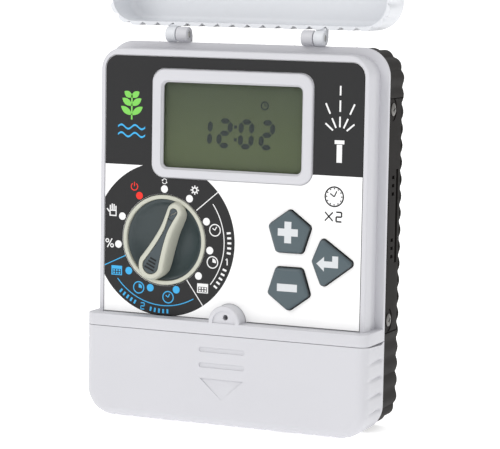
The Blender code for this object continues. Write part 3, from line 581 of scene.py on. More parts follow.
def keyHoles(start, end):
    # the openings that the keys come through
    outlines = [filleted(grown(corners, keyGap), keyCorner + keyGap) for corners, _ in keyPlans.values()]
    return [prism("keyHole", outline, start, end) for outline in outlines]


# grooves that run round a wall of the case

skin = 1.7  # how far in from the outline still counts as wall, so that grooves run onto the rounded edge


def wallRun(x, z, halfWidth, low, high, lowCorner, highCorner):
    # distance run from the middle of the lower wall, and the way out of the wall
    side = 1 if x >= 0 else -1
    x = abs(x)
    straight = halfWidth - lowCorner
    if z < low + lowCorner and x > straight:
        angle = math.atan2(x - straight, low + lowCorner - z)
        return side * (straight + lowCorner * angle), side * math.sin(angle), -math.cos(angle)
    if z <= low + skin:
        return side * x, 0.0, -1.0
    corner = straight + lowCorner * math.pi / 2
    if z > high - highCorner and x > halfWidth - highCorner:
        angle = math.atan2(z - (high - highCorner), x - (halfWidth - highCorner))
        run = corner + (high - highCorner - low - lowCorner) + highCorner * angle
        return side * run, side * math.cos(angle), math.sin(angle)
    if z >= high - skin:
        run = corner + (high - highCorner - low - lowCorner) + highCorner * math.pi / 2
        return side * (run + halfWidth - highCorner - x), 0.0, 1.0
    return side * (corner + z - low - lowCorner), side, 0.0


def cutColumns(piece, plan, column):
    # splits the straight stretches of the walls into narrow columns
    halfWidth, low, high, lowCorner, highCorner = plan
    level = lambda a, b, z: same(a.z, z) and same(b.z, z)
    upright = lambda a, b, x: same(a.x, x) and same(b.x, x)
    tall = high - low - lowCorner - highCorner
    stretches = [
        (lambda a, b: level(a, b, low), 2 * (halfWidth - lowCorner)),
        (lambda a, b: upright(a, b, halfWidth), tall),
        (lambda a, b: upright(a, b, -halfWidth), tall),
    ]
    if highCorner:
        stretches.append((lambda a, b: level(a, b, high), 2 * (halfWidth - highCorner)))
    for onStretch, length in stretches:
        pick(piece, "EDGE", lambda a, b: (a - b).length > 20 and same(a.y, b.y) and onStretch(a, b))
        bpy.ops.mesh.subdivide(number_cuts=int(length / column))
        leaveEdit()


def cutRows(piece, rows):
    # splits the walls front to back, once their outer edge is rounded
    pick(piece, "EDGE", lambda a, b: alongY(a, b) and (a - b).length > 4)
    bpy.ops.mesh.subdivide(number_cuts=rows)
    leaveEdit()


def groove(piece, plan, sizes, fade):
    # presses rounded grooves into the walls, with the wall bulging a little between them
    halfWidth, low, high, lowCorner, highCorner = plan
    pitch, phase, depth, width, sag = (sizes[k] for k in ("pitch", "phase", "depth", "width", "sag"))
    for corner in piece.data.vertices:
        x, y, z = corner.co / mm
        strength = fade(y)
        edge = min(halfWidth - abs(x), z - low, high - z)
        onArc = abs(x) > halfWidth - max(lowCorner, highCorner) and (
            z < low + lowCorner or z > high - highCorner)
        if strength <= 0 or (edge > skin and not onArc):
            continue
        run, outX, outZ = wallRun(x, z, *plan)
        if onArc and not same(math.hypot(outX, outZ), 1):
            continue
        away = abs((run - phase + pitch / 2) % pitch - pitch / 2)
        sink = depth * math.exp(-(away / width) ** 2) + sag * (1 - 2 * away / pitch) ** 2
        corner.co -= Vector((outX, 0, outZ)) * sink * strength * mm


def fadeBetween(startY, fullY, endY, fall=1.3):
    # nothing at startY, full at fullY, and a slow fade to nothing at endY
    def strength(y):
        if (y - startY) * (fullY - startY) < 0 or (y - endY) * (fullY - endY) < 0:
            return 0.0
        rising = min(1.0, abs(y - startY) / max(abs(fullY - startY), 0.01))
        falling = min(1.0, abs(y - endY) / abs(endY - fullY))
        return min(rising ** 0.7, falling ** fall)
    return strength


# front shell: flange, plateau for the label, display frame, strip with its lobe, terminal bay and hinge lugs

shell = {
    "plateauHalf": 77.9, "plateauTop": 98.44, "plateauCorner": 12.0, "undercutDepth": 0.8,
    "undercut": (-33.5, -25.0),
    "recessHalf": 75.3, "recessTop": 95.0, "recessCorner": 7.3, "recessY": -41.18, "panelBackY": -39.18,
    "bezelHalf": 46.6, "bezelLow": 29.7, "bezelHigh": 88.07, "bezelCorner": 7.5, "bezelY": -43.3,
    "viewHalf": 40.3, "viewLow": 35.2, "viewHigh": 81.0, "viewCorner": 2.8,
    "lobe": (0.7, -45.5), "lobeRadius": 9.1, "lobeRecess": 6.6, "lobeHole": (1.4, -42.7),
    "lobeHoleRadius": 1.5,
    "bayHalf": 79.3, "bayBottom": -99.3, "bayFrontY": -45.0, "bayCorner": 12.5,
    "lugInner": 33.2, "lugOuter": 39.8, "knuckleRadius": 4.13, "pinHole": 1.8,
    "caseScrews": ((-70, 90), (70, 90), (-70, -89), (70, -89)), "boardScrews": ((-60, 83), (60, -35)),
    "wallScrews": ((-52, -86), (52, -86)), "cableHoles": (-34.0, 34.0), "cableY": -35.5,
}


def plateau():
    half, top, corner = (shell[k] for k in ("plateauHalf", "plateauTop", "plateauCorner"))
    foot, depth = case["stripTop"], shell["undercutDepth"]
    body = panel("plateau", half, (case["surroundY"], case["flangeY"] + 1), foot - 1, top, 0, corner, 16)
    roundAtY(body, case["surroundY"], 1.1, 4)
    band = panel("band", half + 4, shell["undercut"], foot, top + 4, 0, corner + 4, 16)
    take(band, panel("core", half - depth, (-40, -20), foot - 9, top - depth, 0, corner - depth, 16))
    recess = panel("recess", shell["recessHalf"], (shell["recessY"], -50), foot - 5, shell["recessTop"], 0,
                   shell["recessCorner"], 12)
    take(body, band, recess)
    return body


def displayFrame():
    front, corner = shell["bezelY"], shell["bezelCorner"]
    body = panel("bezel", shell["bezelHalf"], (front, shell["recessY"] + 0.5), shell["bezelLow"],
                 shell["bezelHigh"], corner, corner, 12)
    roundAtY(body, front, 1.2, 5)
    return body


def displayOpening():
    # a chamfered mouth in front of the straight opening
    half, low, high, corner = (shell[k] for k in ("viewHalf", "viewLow", "viewHigh", "viewCorner"))

    def plan(more):
        right = arcPoints(half - corner, low + corner, corner + more, -90, 0, 6)
        right += arcPoints(half - corner, high - corner, corner + more, 0, 90, 6)
        return right + [(-x, z) for x, z in reversed(right)]

    front = shell["bezelY"]
    return stack("mouth", [(plan(0.0), -30), (plan(0.0), front + 1.5), (plan(0.9), front + 0.25),
                           (plan(1.3), front - 0.6), (plan(1.3), front - 3)])


def strip():
    front, split, top = case["proudY"], case["splitY"], case["stripTop"]
    body = panel("strip", case["halfWidth"], (front, split), -case["top"], 0.0, case["corner"], 0, 20)
    roundAtY(body, front, case["edgeRound"], 7)
    keepSide(body, top, False)
    keepSide(body, case["seam"] + case["gap"], True)
    onTop = lambda a, b: same(a.z, top) and same(b.z, top)
    bevelEdges(body, lambda a, b: onTop(a, b) and min(a.y, b.y) < split - 1, 0.5, 3)
    return body


def lobe():
    x, z = shell["lobe"]
    body = rod("lobe", (x, z), shell["lobeRadius"], (case["proudY"], shell["recessY"] + 1), sides=72)
    roundAtY(body, case["proudY"], 1.0, 4)
    dip = rod("dip", (x, z), shell["lobeRecess"], (case["proudY"] + 0.9, case["proudY"] - 3), sides=72)
    roundAtY(dip, case["proudY"] + 0.9, 0.5, 3)
    take(body, dip)
    return body


def bay():
    half, bottom, front = shell["bayHalf"], shell["bayBottom"], shell["bayFrontY"]
    body = panel("bay", half, (case["splitY"], front), bottom, case["seam"] + 1, shell["bayCorner"], 0, 14)
    roundAtY(body, front, 0.5, 2)
    return body


def knuckle(name, side, inner, outer):
    # barrel round the hinge pin, both its rims rounded
    span = sorted((side * inner, side * outer))
    body = rod(name, case["hinge"], shell["knuckleRadius"], span, "X", 40)
    bevelEdges(body, lambda a, b: same(a.x, b.x) and any(same(a.x, end) for end in span), 0.5, 3)
    return body, span


def hingeLug(side):
    z = case["hinge"][1]
    body, span = knuckle("lug", side, shell["lugInner"], shell["lugOuter"])
    add(body, block("root", span, (case["flangeY"] + 0.02, case["splitY"] - 0.02), (case["top"] - 2.5, z)))
    add(body, block("arm", span, (case["flangeY"] + 0.05, -21.4), (case["top"] + 0.2, z)))
    return body


def frontShell():
    flange, split, back = case["flangeY"], case["splitY"], shell["panelBackY"]
    seam, stripTop, behind = case["seam"] + case["gap"], case["stripTop"], back + 5
    body = panel("frontShell", case["halfWidth"], (flange, split), seam, case["top"], 0, case["corner"], 20)
    roundAtY(body, flange, 0.5, 3)
    add(body, plateau(), displayFrame(), strip(), bay(), lobe())
    wall = 2.0
    inner = panel("cavity", shell["plateauHalf"] - wall, (split + 5, back), stripTop + 1.8,
                  shell["plateauTop"] - wall, 0, shell["plateauCorner"] - wall, 12)
    bayHalf, bayLow, bayCorner = shell["bayHalf"] - wall, shell["bayBottom"] + wall, shell["bayCorner"] - wall
    bayRoom = panel("bayRoom", bayHalf, (flange, case["proudY"] + case["wall"]), bayLow, stripTop - 2,
                    bayCorner, 0, 12)
    mouth = panel("mouth", bayHalf, (shell["bayFrontY"] + 1, case["proudY"] - 5), bayLow, seam, bayCorner, 0,
                  12)
    rebate = 2.0
    seat = block("seat", (-shell["viewHalf"] - rebate, shell["viewHalf"] + rebate), (-40.9, behind),
                 (shell["viewLow"] - rebate, shell["viewHigh"] + rebate))
    take(body, inner, bayRoom, mouth, displayOpening(), seat,
         rod("dialHole", dialCentre, dialHole, (behind, -48), sides=96), *keyHoles(behind, -48),
         rod("hole", shell["lobeHole"], shell["lobeHoleRadius"], (behind, -56), sides=32))
    for spot in shell["caseScrews"]:
        front = back - 0.5 if spot[1] > 0 else -36.0
        add(body, rod("boss", spot, 3.6, (split, front), sides=32))
        take(body, rod("pilot", spot, 1.7, (split + 3, -34.5), sides=20))
    for spot in shell["boardScrews"]:
        add(body, rod("post", spot, 3.2, (-25.97, back - 0.5), sides=32))
        take(body, rod("pilot", spot, 1.5, (-22.5, -36.0), sides=20))
    entry = (shell["bayBottom"] - 5, shell["bayBottom"] + 5)
    take(body, *[rod("entry", (x, shell["cableY"]), 6.3, entry, "Z", 48) for x in shell["cableHoles"]])
    through = (split + 5, flange - 5)
    take(body, *[rod("wallScrew", spot, 2.5, through, sides=32) for spot in shell["wallScrews"]])
    for side in (-1, 1):
        add(body, hingeLug(side))
        reach = (side * (shell["lugInner"] - 3), side * (shell["lugOuter"] + 3))
        take(body, rod("pinHole", case["hinge"], shell["pinHole"], reach, "X", 24))
    return place(body, "frontShell", "controller", "housing_plastic", housingLook, "front_housing", 28)


frontShell()
print("front shell made")


# hinged lid, modelled in its open place: the rim faces forward and the outer face is next to the wall

lidSizes = {
    "rimY": -25.47, "outerY": -0.71, "near": 110.6, "far": 257.7, "nearCorner": 15.1, "farCorner": 6.0,
    "panelY": -8.04, "farDrop": 8.0, "notch": (0.7, 257.9), "notchRadius": 10.1,
    "knuckleInner": 40.3, "knuckleOuter": 46.0,
    "pitch": 8.9, "phase": 1.0, "depth": 1.6, "width": 1.35, "sag": 0.35, "column": 0.62, "rows": 18,
}


def lidArm(side):
    y, z = case["hinge"]
    body, span = knuckle("arm", side, lidSizes["knuckleInner"], lidSizes["knuckleOuter"])
    add(body, block("web", span, (y + 0.6, y + shell["knuckleRadius"] - 0.05), (z, lidSizes["near"] + 1)))
    return body


def lid():
    half, wall, rim, outer = case["halfWidth"], case["wall"], lidSizes["rimY"], lidSizes["outerY"]
    near, far, nearCorner, farCorner = (lidSizes[k] for k in ("near", "far", "nearCorner", "farCorner"))
    plan = (half, near, far, nearCorner, farCorner)
    body = panel("lid", half, (rim, outer), near, far, nearCorner, farCorner, 40)
    cutColumns(body, plan, lidSizes["column"])
    roundAtY(body, outer, case["edgeRound"], 7)
    cutRows(body, lidSizes["rows"])
    groove(body, plan, lidSizes, fadeBetween(rim - 1, rim, outer - case["edgeRound"] - 1))
    inside = panel("inside", half - wall, (rim - 5, outer - wall), near + wall, far - wall, nearCorner - wall,
                   farCorner - wall, 14)
    roundAtY(inside, outer - wall, case["edgeRound"] - wall, 5)
    overPanel = block("overPanel", (wall - half + 0.02, half - wall - 0.02), (rim - 6, lidSizes["panelY"]),
                      (far - lidSizes["farDrop"], far + 5))
    take(body, inside, overPanel,
         rod("notch", lidSizes["notch"], lidSizes["notchRadius"], (rim - 7, outer + 5), sides=64))
    add(body, joinAll([lidArm(side) for side in (-1, 1)]))
    take(body, rod("pinHole", case["hinge"], shell["pinHole"], (-60, 60), "X", 24))
    return place(body, "hingedLid", "lid", "housing_plastic", lidLightenedLook, "lid", 32)


lid()
print("lid made")


# terminal cover that slides down off the bay, with its pull mark pressed into the front

coverSizes = {
    "pitch": 9.0, "phase": -1.4, "depth": 1.2, "width": 0.8, "sag": 0.3, "column": 0.62, "rows": 22,
    "grooveY": (-24.7, -27.0, -48.5, 0.75), "barHalf": 13.4, "barHeight": 2.8, "bars": (-60.7, -69.1),
    "pressed": 0.7, "arrow": ((-12.7, -76.3), (12.7, -76.3), (0.0, -87.5)), "notchRadius": 7.5,
}


def pullMark():
    # two bars with round ends above a ramp that is deepest along its top edge
    front, pressed = case["proudY"], coverSizes["pressed"]
    tools = []
    for z in coverSizes["bars"]:
        half, tall = coverSizes["barHalf"], coverSizes["barHeight"] / 2
        rounding = tall - 0.02
        bar = panel("bar", half, (front + pressed, front - 2), z - tall, z + tall, rounding, rounding, 8)
        bevelEdges(bar, atY(front + pressed), 0.35, 3)
        tools.append(bar)
    tip = coverSizes["arrow"][2][1]
    arrow = prism("arrow", coverSizes["arrow"], front - 2, front + pressed)
    for corner in arrow.data.vertices:
        if corner.co.y / mm > front and corner.co.z / mm < tip + 0.1:
            corner.co.y = (front + 0.05) * mm
    tools.append(arrow)
    return tools


def terminalCover():
    half, wall, corner, front = case["halfWidth"], case["wall"], case["corner"], case["proudY"]
    low, high = -case["top"], case["seam"]
    plan = (half, low, high, corner, 0)
    body = panel("terminalCover", half, (front, case["splitY"]), low, high, corner, 0, 24)
    cutColumns(body, plan, coverSizes["column"])
    frontEdge = atY(front)
    bevelEdges(body, lambda a, b: frontEdge(a, b) and min(a.z, b.z) < high - 0.01, case["edgeRound"], 7)
    cutRows(body, coverSizes["rows"])
    groove(body, plan, coverSizes, fadeBetween(*coverSizes["grooveY"]))
    room = panel("room", half - wall, (case["splitY"] + 5, front + wall), low + wall, 5, corner - wall, 0, 14)
    roundAtY(room, front + wall, case["edgeRound"] - wall, 5)
    take(body, room)
    below, radius = (low - 5, low + 5), coverSizes["notchRadius"]
    notches = [rod("cableNotch", (x, shell["cableY"]), radius, below, "Z", 48) for x in shell["cableHoles"]]
    mouths = [block("mouth", (x - radius, x + radius), (shell["cableY"], case["splitY"] + 5), below)
              for x in shell["cableHoles"]]
    take(body, joinAll(pullMark() + notches), joinAll(mouths))
    return place(body, "terminalCover", "terminal_cover", "housing_plastic", housingLook, "terminal_cover",
                 32)


terminalCover()
print("terminal cover made")


# rear shell: ribbed all round, with a seat for a plate in each side

plateSizes = {"outer": 81.1, "inner": 79.9, "slotsY": ((-21.6, -19.3), (-8.2, -5.2)), "slot": (-12.4, 37.7),
              "windowY": (-14.5, -11.0), "windows": (33.6, 29.2, 24.8, 0.2, -4.2, -8.6), "dish": 4.9}
rear = {
    "half": 81.4, "top": 101.3, "bottom": -101.4, "corner": 15.5, "frontY": -22.85, "wall": 3.0,
    "pitch": 9.0, "depth": 1.25, "column": 0.7, "rows": 7,
    "plateLow": -49.1, "plateHigh": 75.4, "plateY": (-1.6, -22.2), "plateDepth": 1.8,
    "sideScrews": ((-14.8, 69.65), (-14.8, -42.4)), "keyholeZ": 78.0,
}


def ribbedWalls(body):
    # rounded ribs with sharp valleys between them, their pitch fitted to the run round the case
    half, low, high, corner = rear["half"], rear["bottom"], rear["top"], rear["corner"]
    halfRun = 2 * (half - corner) + (high - low - 2 * corner) + math.pi * corner
    pitch = halfRun / round(halfRun / rear["pitch"])
    for point in body.data.vertices:
        x, _, z = point.co / mm
        onArc = abs(x) > half - corner and (z < low + corner or z > high - corner)
        if min(half - abs(x), z - low, high - z) > 0.05 and not onArc:
            continue
        run, outX, outZ = wallRun(x, z, half, low, high, corner, corner)
        valley = 1 - abs(math.cos(math.pi * run / pitch))
        point.co -= Vector((outX, 0, outZ)) * rear["depth"] * valley * mm


def plateOpenings(through):
    # two long slots and six small windows
    bars = [block("slot", through, y, plateSizes["slot"]) for y in plateSizes["slotsY"]]
    return joinAll(bars + [block("window", through, plateSizes["windowY"], (z - 0.9, z + 0.9))
                           for z in plateSizes["windows"]])


def rearCase():
    half, low, high, corner, front = (rear[k] for k in ("half", "bottom", "top", "corner", "frontY"))
    wall, room, z = rear["wall"], case["gap"], rear["keyholeZ"]
    body = panel("rearCase", half, (front, 0.0), low, high, corner, corner, 32)
    cutColumns(body, (half, low, high, corner, corner), rear["column"])
    cutRows(body, rear["rows"])
    ribbedWalls(body)
    seatY = (rear["plateY"][0] + room, rear["plateY"][1] - room)
    seatZ = (rear["plateLow"] - room, rear["plateHigh"] + room)
    seats = [block("seat", (side * (half - rear["plateDepth"]), side * 90), seatY, seatZ) for side in (-1, 1)]
    inside = panel("inside", half - wall, (-2.5, front - 5), low + wall, high - wall, corner - wall,
                   corner - wall, 14)
    take(body, joinAll([inside] + seats), *[plateOpenings((side * 70, side * 90)) for side in (-1, 1)])
    screws, wallScrews = shell["caseScrews"], shell["wallScrews"]
    sideScrews = [(side, spot) for side in (-1, 1) for spot in rear["sideScrews"]]
    add(body, joinAll(
        [block("hood", (-7.5, 7.5), (-1, -7), (z - 7.5, z + 15))]
        + [rod("tube", spot, 4.5, (-1.0, front), sides=32) for spot in screws]
        + [rod("wallTube", spot, 4.6, (-1.0, front), sides=32) for spot in wallScrews]
        + [rod("boss", spot, 4.0, (side * 69, side * (half - 2.4)), "X", 32) for side, spot in sideScrews]))
    holes = joinAll(
        [rod("headWay", spot, 3.4, (5, -16), sides=32) for spot in screws]
        + [rod("wallScrew", spot, 2.5, (5, -30), sides=32) for spot in wallScrews]
        + [rod("pilot", spot, 1.7, (side * 70.5, side * 90), "X", 20) for side, spot in sideScrews]
        + [block("hoodInside", (-5.5, 5.5), (-2.5, -5.2), (z - 5.5, z + 13))])
    shanks = joinAll([rod("shankWay", spot, 1.8, (5, -30), sides=24) for spot in screws]
                     + [rod("keyhole", (0, z), 4.5, (5, -3.5), sides=48)])
    take(body, holes, shanks, block("slot", (-2.2, 2.2), (5, -3.5), (z, z + 10)),
         rod("slotEnd", (0, z + 10), 2.2, (5, -3.5), sides=32))
    return place(body, "rearCase", "controller", "case_plastic", caseLook, "rear_case", 32)


rearCase()
print("rear case made")


# plates let into the sides of the rear case, and their screws

def sidePlate(word, side):
    outer, inner = side * plateSizes["outer"], side * plateSizes["inner"]
    body = block("plate", (inner, outer), rear["plateY"], (rear["plateLow"], rear["plateHigh"]))
    bevelEdges(body, lambda a, b: same(a.x, outer) and same(b.x, outer), 0.35, 3)
    through = (side * 70, side * 90)
    take(body, plateOpenings(through))
    for y, z in rear["sideScrews"]:
        dish = rod("dish", (y, z), plateSizes["dish"], (outer - side * 0.45, outer + side * 3), "X", 48)
        for corner in dish.data.vertices:
            corner.co.z = z * mm + (corner.co.z - z * mm) * 1.25
        take(body, dish, rod("screwWay", (y, z), 2.2, through, "X", 24))
    place(body, "sidePlate" + word, "controller", "case_plastic", plateLook, "side_plate_" + word.lower())


def crossScrew(name, side, centre):
    # domed head with a cross slot, a collar and a shank
    y, z = centre
    head = side * (plateSizes["outer"] - 0.15)
    outline = ((0.0, -9.3), (1.3, -9.3), (1.3, -1.2), (1.8, -1.2), (1.8, 0.0), (3.35, 0.0), (3.4, 0.2),
               (3.0, 0.45), (1.8, 0.66), (0.0, 0.72))
    body = lathe(name, [(radius, head + side * along) for radius, along in outline], (0, y, z), 40, "X")
    for turn in (20, 110):
        bar = block("slot", (head + side * 0.12, head + side * 2), (y - 0.32, y + 0.32), (z - 1.9, z + 1.9))
        take(body, turned(bar, turn, (0, y, z), "X"))
    return body


for word, side in (("Left", -1), ("Right", 1)):
    sidePlate(word, side)
    for i, centre in enumerate(rear["sideScrews"], 1):
        place(crossScrew("screw", side, centre), "sideScrew%s%d" % (word, i), "controller", "steel",
              shadedScrewLook, "side_screw_%s_%d" % (word.lower(), i))
print("side plates made")


# faceplate label and the inks printed on it, each ink a thin film of its own height

label = {
    "half": 75.0, "top": 94.7, "bottom": -45.5, "corner": 7.0, "back": -41.48, "front": -41.78,
    "bandLow": 35.5, "discCentre": (-38.96, -4.14), "disc": 41.8, "stops": 11, "dots": 27.7, "dot": 2.05,
    "track": 35.8, "film": 0.05, "iconSize": 3.4,
}


def printed(points, height=2, holes=()):
    # an outline raised a little from the label, so that a later ink lies over an earlier one
    front = label["front"]
    body = prism("ink", points, front + 0.02, front - label["film"] * height)
    if holes:
        take(body, joinAll([prism("hole", hole, front + 1, front - 1) for hole in holes]))
    return body


def boxPoints(x, z, width, height, angle=0.0):
    c, s = math.cos(math.radians(angle)), math.sin(math.radians(angle))
    w, h = width / 2, height / 2
    return [(x + a * c - b * s, z + a * s + b * c) for a, b in ((-w, -h), (w, -h), (w, h), (-w, h))]


def linePoints(start, end, width):
    (x1, z1), (x2, z2) = start, end
    return boxPoints((x1 + x2) / 2, (z1 + z2) / 2, math.hypot(x2 - x1, z2 - z1), width,
                     math.degrees(math.atan2(z2 - z1, x2 - x1)))


def circlePoints(x, z, radius, steps=36):
    return arcPoints(x, z, radius, 0, 360 - 360 / steps, steps - 1)


def bandPoints(x, z, radius, width, start, end, steps=30):
    outer = arcPoints(x, z, radius + width / 2, start, end, steps)
    inner = arcPoints(x, z, radius - width / 2, end, start, steps)
    return outer + inner


def ringMark(x, z, radius, width, height=2):
    return printed(circlePoints(x, z, radius), height, [circlePoints(x, z, radius - width)])


def stroke(start, end, width, height=2):
    return printed(linePoints(start, end, width), height)


def patch(x, z, width, height):
    return printed(boxPoints(x, z, width, height))


def spoke(x, z, radii, angle, width, height=2):
    # a stroke that points away from a centre
    return stroke(*[polar(x, z, radius, angle) for radius in radii], width, height)


def onRing(bearing, radius):
    # a place round the dial, its bearing in degrees clockwise from the top
    return polar(*dialCentre, radius, 90 - bearing)


def atStop(number, radius):
    # the dial's stops are evenly spaced, and number 0 is at the top
    return onRing(number * 360 / label["stops"], radius)


def clockIcon(x, z, size):
    hands = ((-0.42, 0.28), (0.28, 0.55))
    return [ringMark(x, z, size, size * 0.17)] + [
        stroke((x, z), (x + dx * size, z + dz * size), size * 0.16) for dx, dz in hands]


def durationIcon(x, z, size):
    # half-filled clock: how long the water runs
    wedge = [(x, z)] + arcPoints(x, z, size * 0.62, -10, 90, 8)
    return [ringMark(x, z, size, size * 0.17), printed(wedge)]


def calendarIcon(x, z, size):
    # a framed leaf with a few day squares
    window = boxPoints(x, z - size * 0.2, size * 1.6, size * 0.9)
    marks = [printed(boxPoints(x, z, size * 2, size * 1.6), 2, [window])]
    for dx in (-0.5, 0.0, 0.5):
        marks += [patch(x + dx * size, z + dz * size, size * 0.3, size * 0.3) for dz in (-0.42, 0.02)]
    return marks


def percentIcon(x, z, size):
    return [ringMark(x - size * 0.5, z + size * 0.45, size * 0.4, size * 0.2),
            ringMark(x + size * 0.5, z - size * 0.45, size * 0.4, size * 0.2),
            stroke((x - size * 0.5, z - size * 0.85), (x + size * 0.5, z + size * 0.85), size * 0.22)]


def handIcon(x, z, size):
    palm = z - size * 0.45
    hollow = boxPoints(x, palm, size * 0.85, size * 0.6)
    marks = [printed(boxPoints(x, palm, size * 1.2, size * 0.95), 2, [hollow])]
    for i, tall in enumerate((0.75, 0.95, 0.9, 0.65)):
        marks.append(patch(x + (i - 1.5) * size * 0.32, z + size * tall / 2, size * 0.2, size * tall))
    thumb = ((x - size * 0.6, z - size * 0.3), (x - size * 1.05, z + size * 0.2))
    return marks + [stroke(*thumb, size * 0.2)]


def powerIcon(x, z, size):
    return [printed(bandPoints(x, z, size * 0.8, size * 0.22, 125, 415)),
            patch(x, z + size * 0.55, size * 0.22, size * 0.95)]


def cycleIcon(x, z, size):
    # two arrows chasing each other round a circle
    marks = []
    for turn in (0, 180):
        marks.append(printed(bandPoints(x, z, size * 0.75, size * 0.22, turn + 20, turn + 150, 14)))
        head = ((1.1, 150), (0.75, 185), (0.4, 150))
        marks.append(printed([polar(x, z, size * radius, turn + angle) for radius, angle in head]))
    return marks


def gearIcon(x, z, size):
    teeth = [spoke(x, z, (size * 0.6, size * 1.0), 45 * i, size * 0.28) for i in range(8)]
    return [ringMark(x, z, size * 0.68, size * 0.32)] + teeth


def numeral(digit, x, z, size, height=2):
    # plain digits built from strokes
    w, h, t = size * 0.3, size * 0.5, size * 0.17
    strokes = {"1": [((0, -h), (0, h)), ((-w * 0.8, h * 0.5), (0, h))],
               "2": [((-w, h), (w, h)), ((w, h), (w, 0)), ((w, 0), (-w, 0)), ((-w, 0), (-w, -h)),
                     ((-w, -h), (w, -h))]}
    return [stroke((x + a[0], z + a[1]), (x + b[0], z + b[1]), t, height) for a, b in strokes[digit]]


def finishInk(marks, name, look):
    return place(joinAll(marks), name, "controller", "label_print", look)


def labelOutline(half, low, top):
    # square at the foot and rounded at the two upper corners
    corner = label["corner"]
    return ([(-half, low), (half, low)] + arcPoints(half - corner, top - corner, corner, 0, 90, 10)
            + arcPoints(corner - half, top - corner, corner, 90, 180, 10))


def labelHoles(more=0.0):
    # the display frame and the dial come through the label
    gap, corner = case["gap"] + more, shell["bezelCorner"]
    return [panel("frameHole", shell["bezelHalf"] + gap, (-30, -50), shell["bezelLow"] - gap,
                  shell["bezelHigh"] + gap, corner, corner, 12),
            rod("dialHole", dialCentre, dialHole + more, (-30, -50), sides=96)]


def faceplate():
    outline = labelOutline(label["half"], label["bottom"], label["top"])
    body = prism("faceplate", outline, label["back"], label["front"])
    lobeHole = rod("lobeHole", shell["lobe"], 9.4, (-30, -50), sides=64)
    take(body, joinAll(labelHoles() + [lobeHole] + keyHoles(-30, -50)))
    return place(body, "faceplateLabel", "controller", "label_print", labelLook, "faceplate_label")


def darkPrint():
    # dark band behind the display and dark disc behind the dial, printed as one area
    half, inset = label["half"] - 0.1, 0.1
    body = printed(labelOutline(half, label["bandLow"], label["top"] - inset), 1)
    disc = printed(circlePoints(*label["discCentre"], label["disc"], 120), 1)
    take(disc, block("side", (-half - 20, -half), (-60, -20), (-60, 60)))
    add(body, disc)
    take(body, joinAll(labelHoles(0.05)))
    return finishInk([body], "labelPrintDark", darkInkAndShade)


faceplate()
darkPrint()

iconSize, hairline = label["iconSize"], 0.5


def stopDots(numbers):
    return [printed(circlePoints(*atStop(i, label["dots"]), label["dot"])) for i in numbers]


def programTrack(start, end, steps):
    # an arc round the dial between two places
    angles = [math.degrees(math.atan2(z - dialCentre[1], x - dialCentre[0])) for x, z in (start, end)]
    return [printed(bandPoints(*dialCentre, label["track"], hairline, *angles, steps))]


def programDashes(start, end):
    # short strokes either side of a program's number
    count = round((end - start) / 4.2)
    bearings = [start + (end - start) * i / count for i in range(count + 1)]
    return [stroke(onRing(bearing, 37.7), onRing(bearing, 40.0), 1.1) for bearing in bearings]


whiteMarks = stopDots((0, 1, 2, 3, 4, 8, 9)) + clockIcon(-8.8, 2.8, iconSize)
whiteMarks += durationIcon(-10.0, -14.6, iconSize) + calendarIcon(-15.6, -29.1, iconSize * 0.95)
whiteMarks += percentIcon(-71.9, -8.0, iconSize * 0.85) + handIcon(-70.0, 10.2, iconSize * 1.05)
whiteMarks += cycleIcon(*atStop(0, 31.9), iconSize * 0.52) + gearIcon(*atStop(1, 33.4), iconSize * 0.72)
whiteMarks += [stroke((-7.5, 23.2), (-19.9, 12.8), hairline),
               stroke((-25.1, -25.1), (-15.4, -38.5), hairline)]
whiteMarks += programTrack((-11.1, -26.7), (-9.8, 17.1), 40) + numeral("1", *onRing(104, 38.9), 3.6)
whiteMarks += programDashes(81, 97) + programDashes(111, 127)
blueMarks = stopDots((5, 6, 7)) + clockIcon(-36.1, -35.4, iconSize) + durationIcon(-53.9, -31.3, iconSize)
blueMarks += calendarIcon(-67.4, -22.8, iconSize * 0.95) + programTrack((-67, -27.2), (-21, -35.2), 30)
blueMarks += [stroke((-74.8, -20.3), (-62.1, -14.3), hairline)] + numeral("2", *onRing(198.5, 38.9), 3.4)
blueMarks += programDashes(176, 191) + programDashes(206, 221)
redMarks = stopDots((10,)) + powerIcon(*atStop(10, 33.4), iconSize * 0.72)
print("label marks made")

# a sprig over two waves, left of the display


def leafPoints(x, z, length, width, angle):
    c, s = math.cos(math.radians(angle)), math.sin(math.radians(angle))
    side = [(length * i / 8, width * math.sin(math.pi * i / 8) ** 0.8) for i in range(9)]
    shape = side + [(a, -b) for a, b in reversed(side[1:-1])]
    return [(x + a * c - b * s, z + a * s + b * c) for a, b in shape]


def wavePoints(x, z, length, swing, width):
    upper = [(x + length * i / 24, z + swing * math.sin(4 * math.pi * i / 24) + width / 2) for i in range(25)]
    return upper + [(a, b - width) for a, b in reversed(upper)]


sprigX = -59.3
greenMarks = [stroke((sprigX, 60.0), (sprigX, 74.0), 0.9)]
for height, reach in ((62.5, 8.0), (67.5, 7.0), (72.0, 5.5)):
    greenMarks += [printed(leafPoints(sprigX, height, reach, 1.7, angle)) for angle in (35, 145)]
blueMarks += [printed(wavePoints(-67.5, z, 16.4, 1.1, 1.0)) for z in (56.0, 51.8)]

# a sprinkler and its fan of spray, right of the display

sprayX, sprayZ = 61.5, 56.0
whiteMarks += [patch(sprayX, 47.2, 3.0, 9.4), patch(sprayX, 53.2, 5.4, 2.0)]
for angle in (40, 65, 90, 115, 140):
    for radii in ((5.0, 10.5), (13.0, 19.0), (21.5, 26.5)):
        ends = [polar(sprayX, sprayZ, radius, angle) for radius in radii]
        if all(52.5 < x < 71.5 and z < 88 for x, z in ends):
            whiteMarks.append(stroke(*ends, 0.9))

# clock, and a cross with a 2, beside the keys

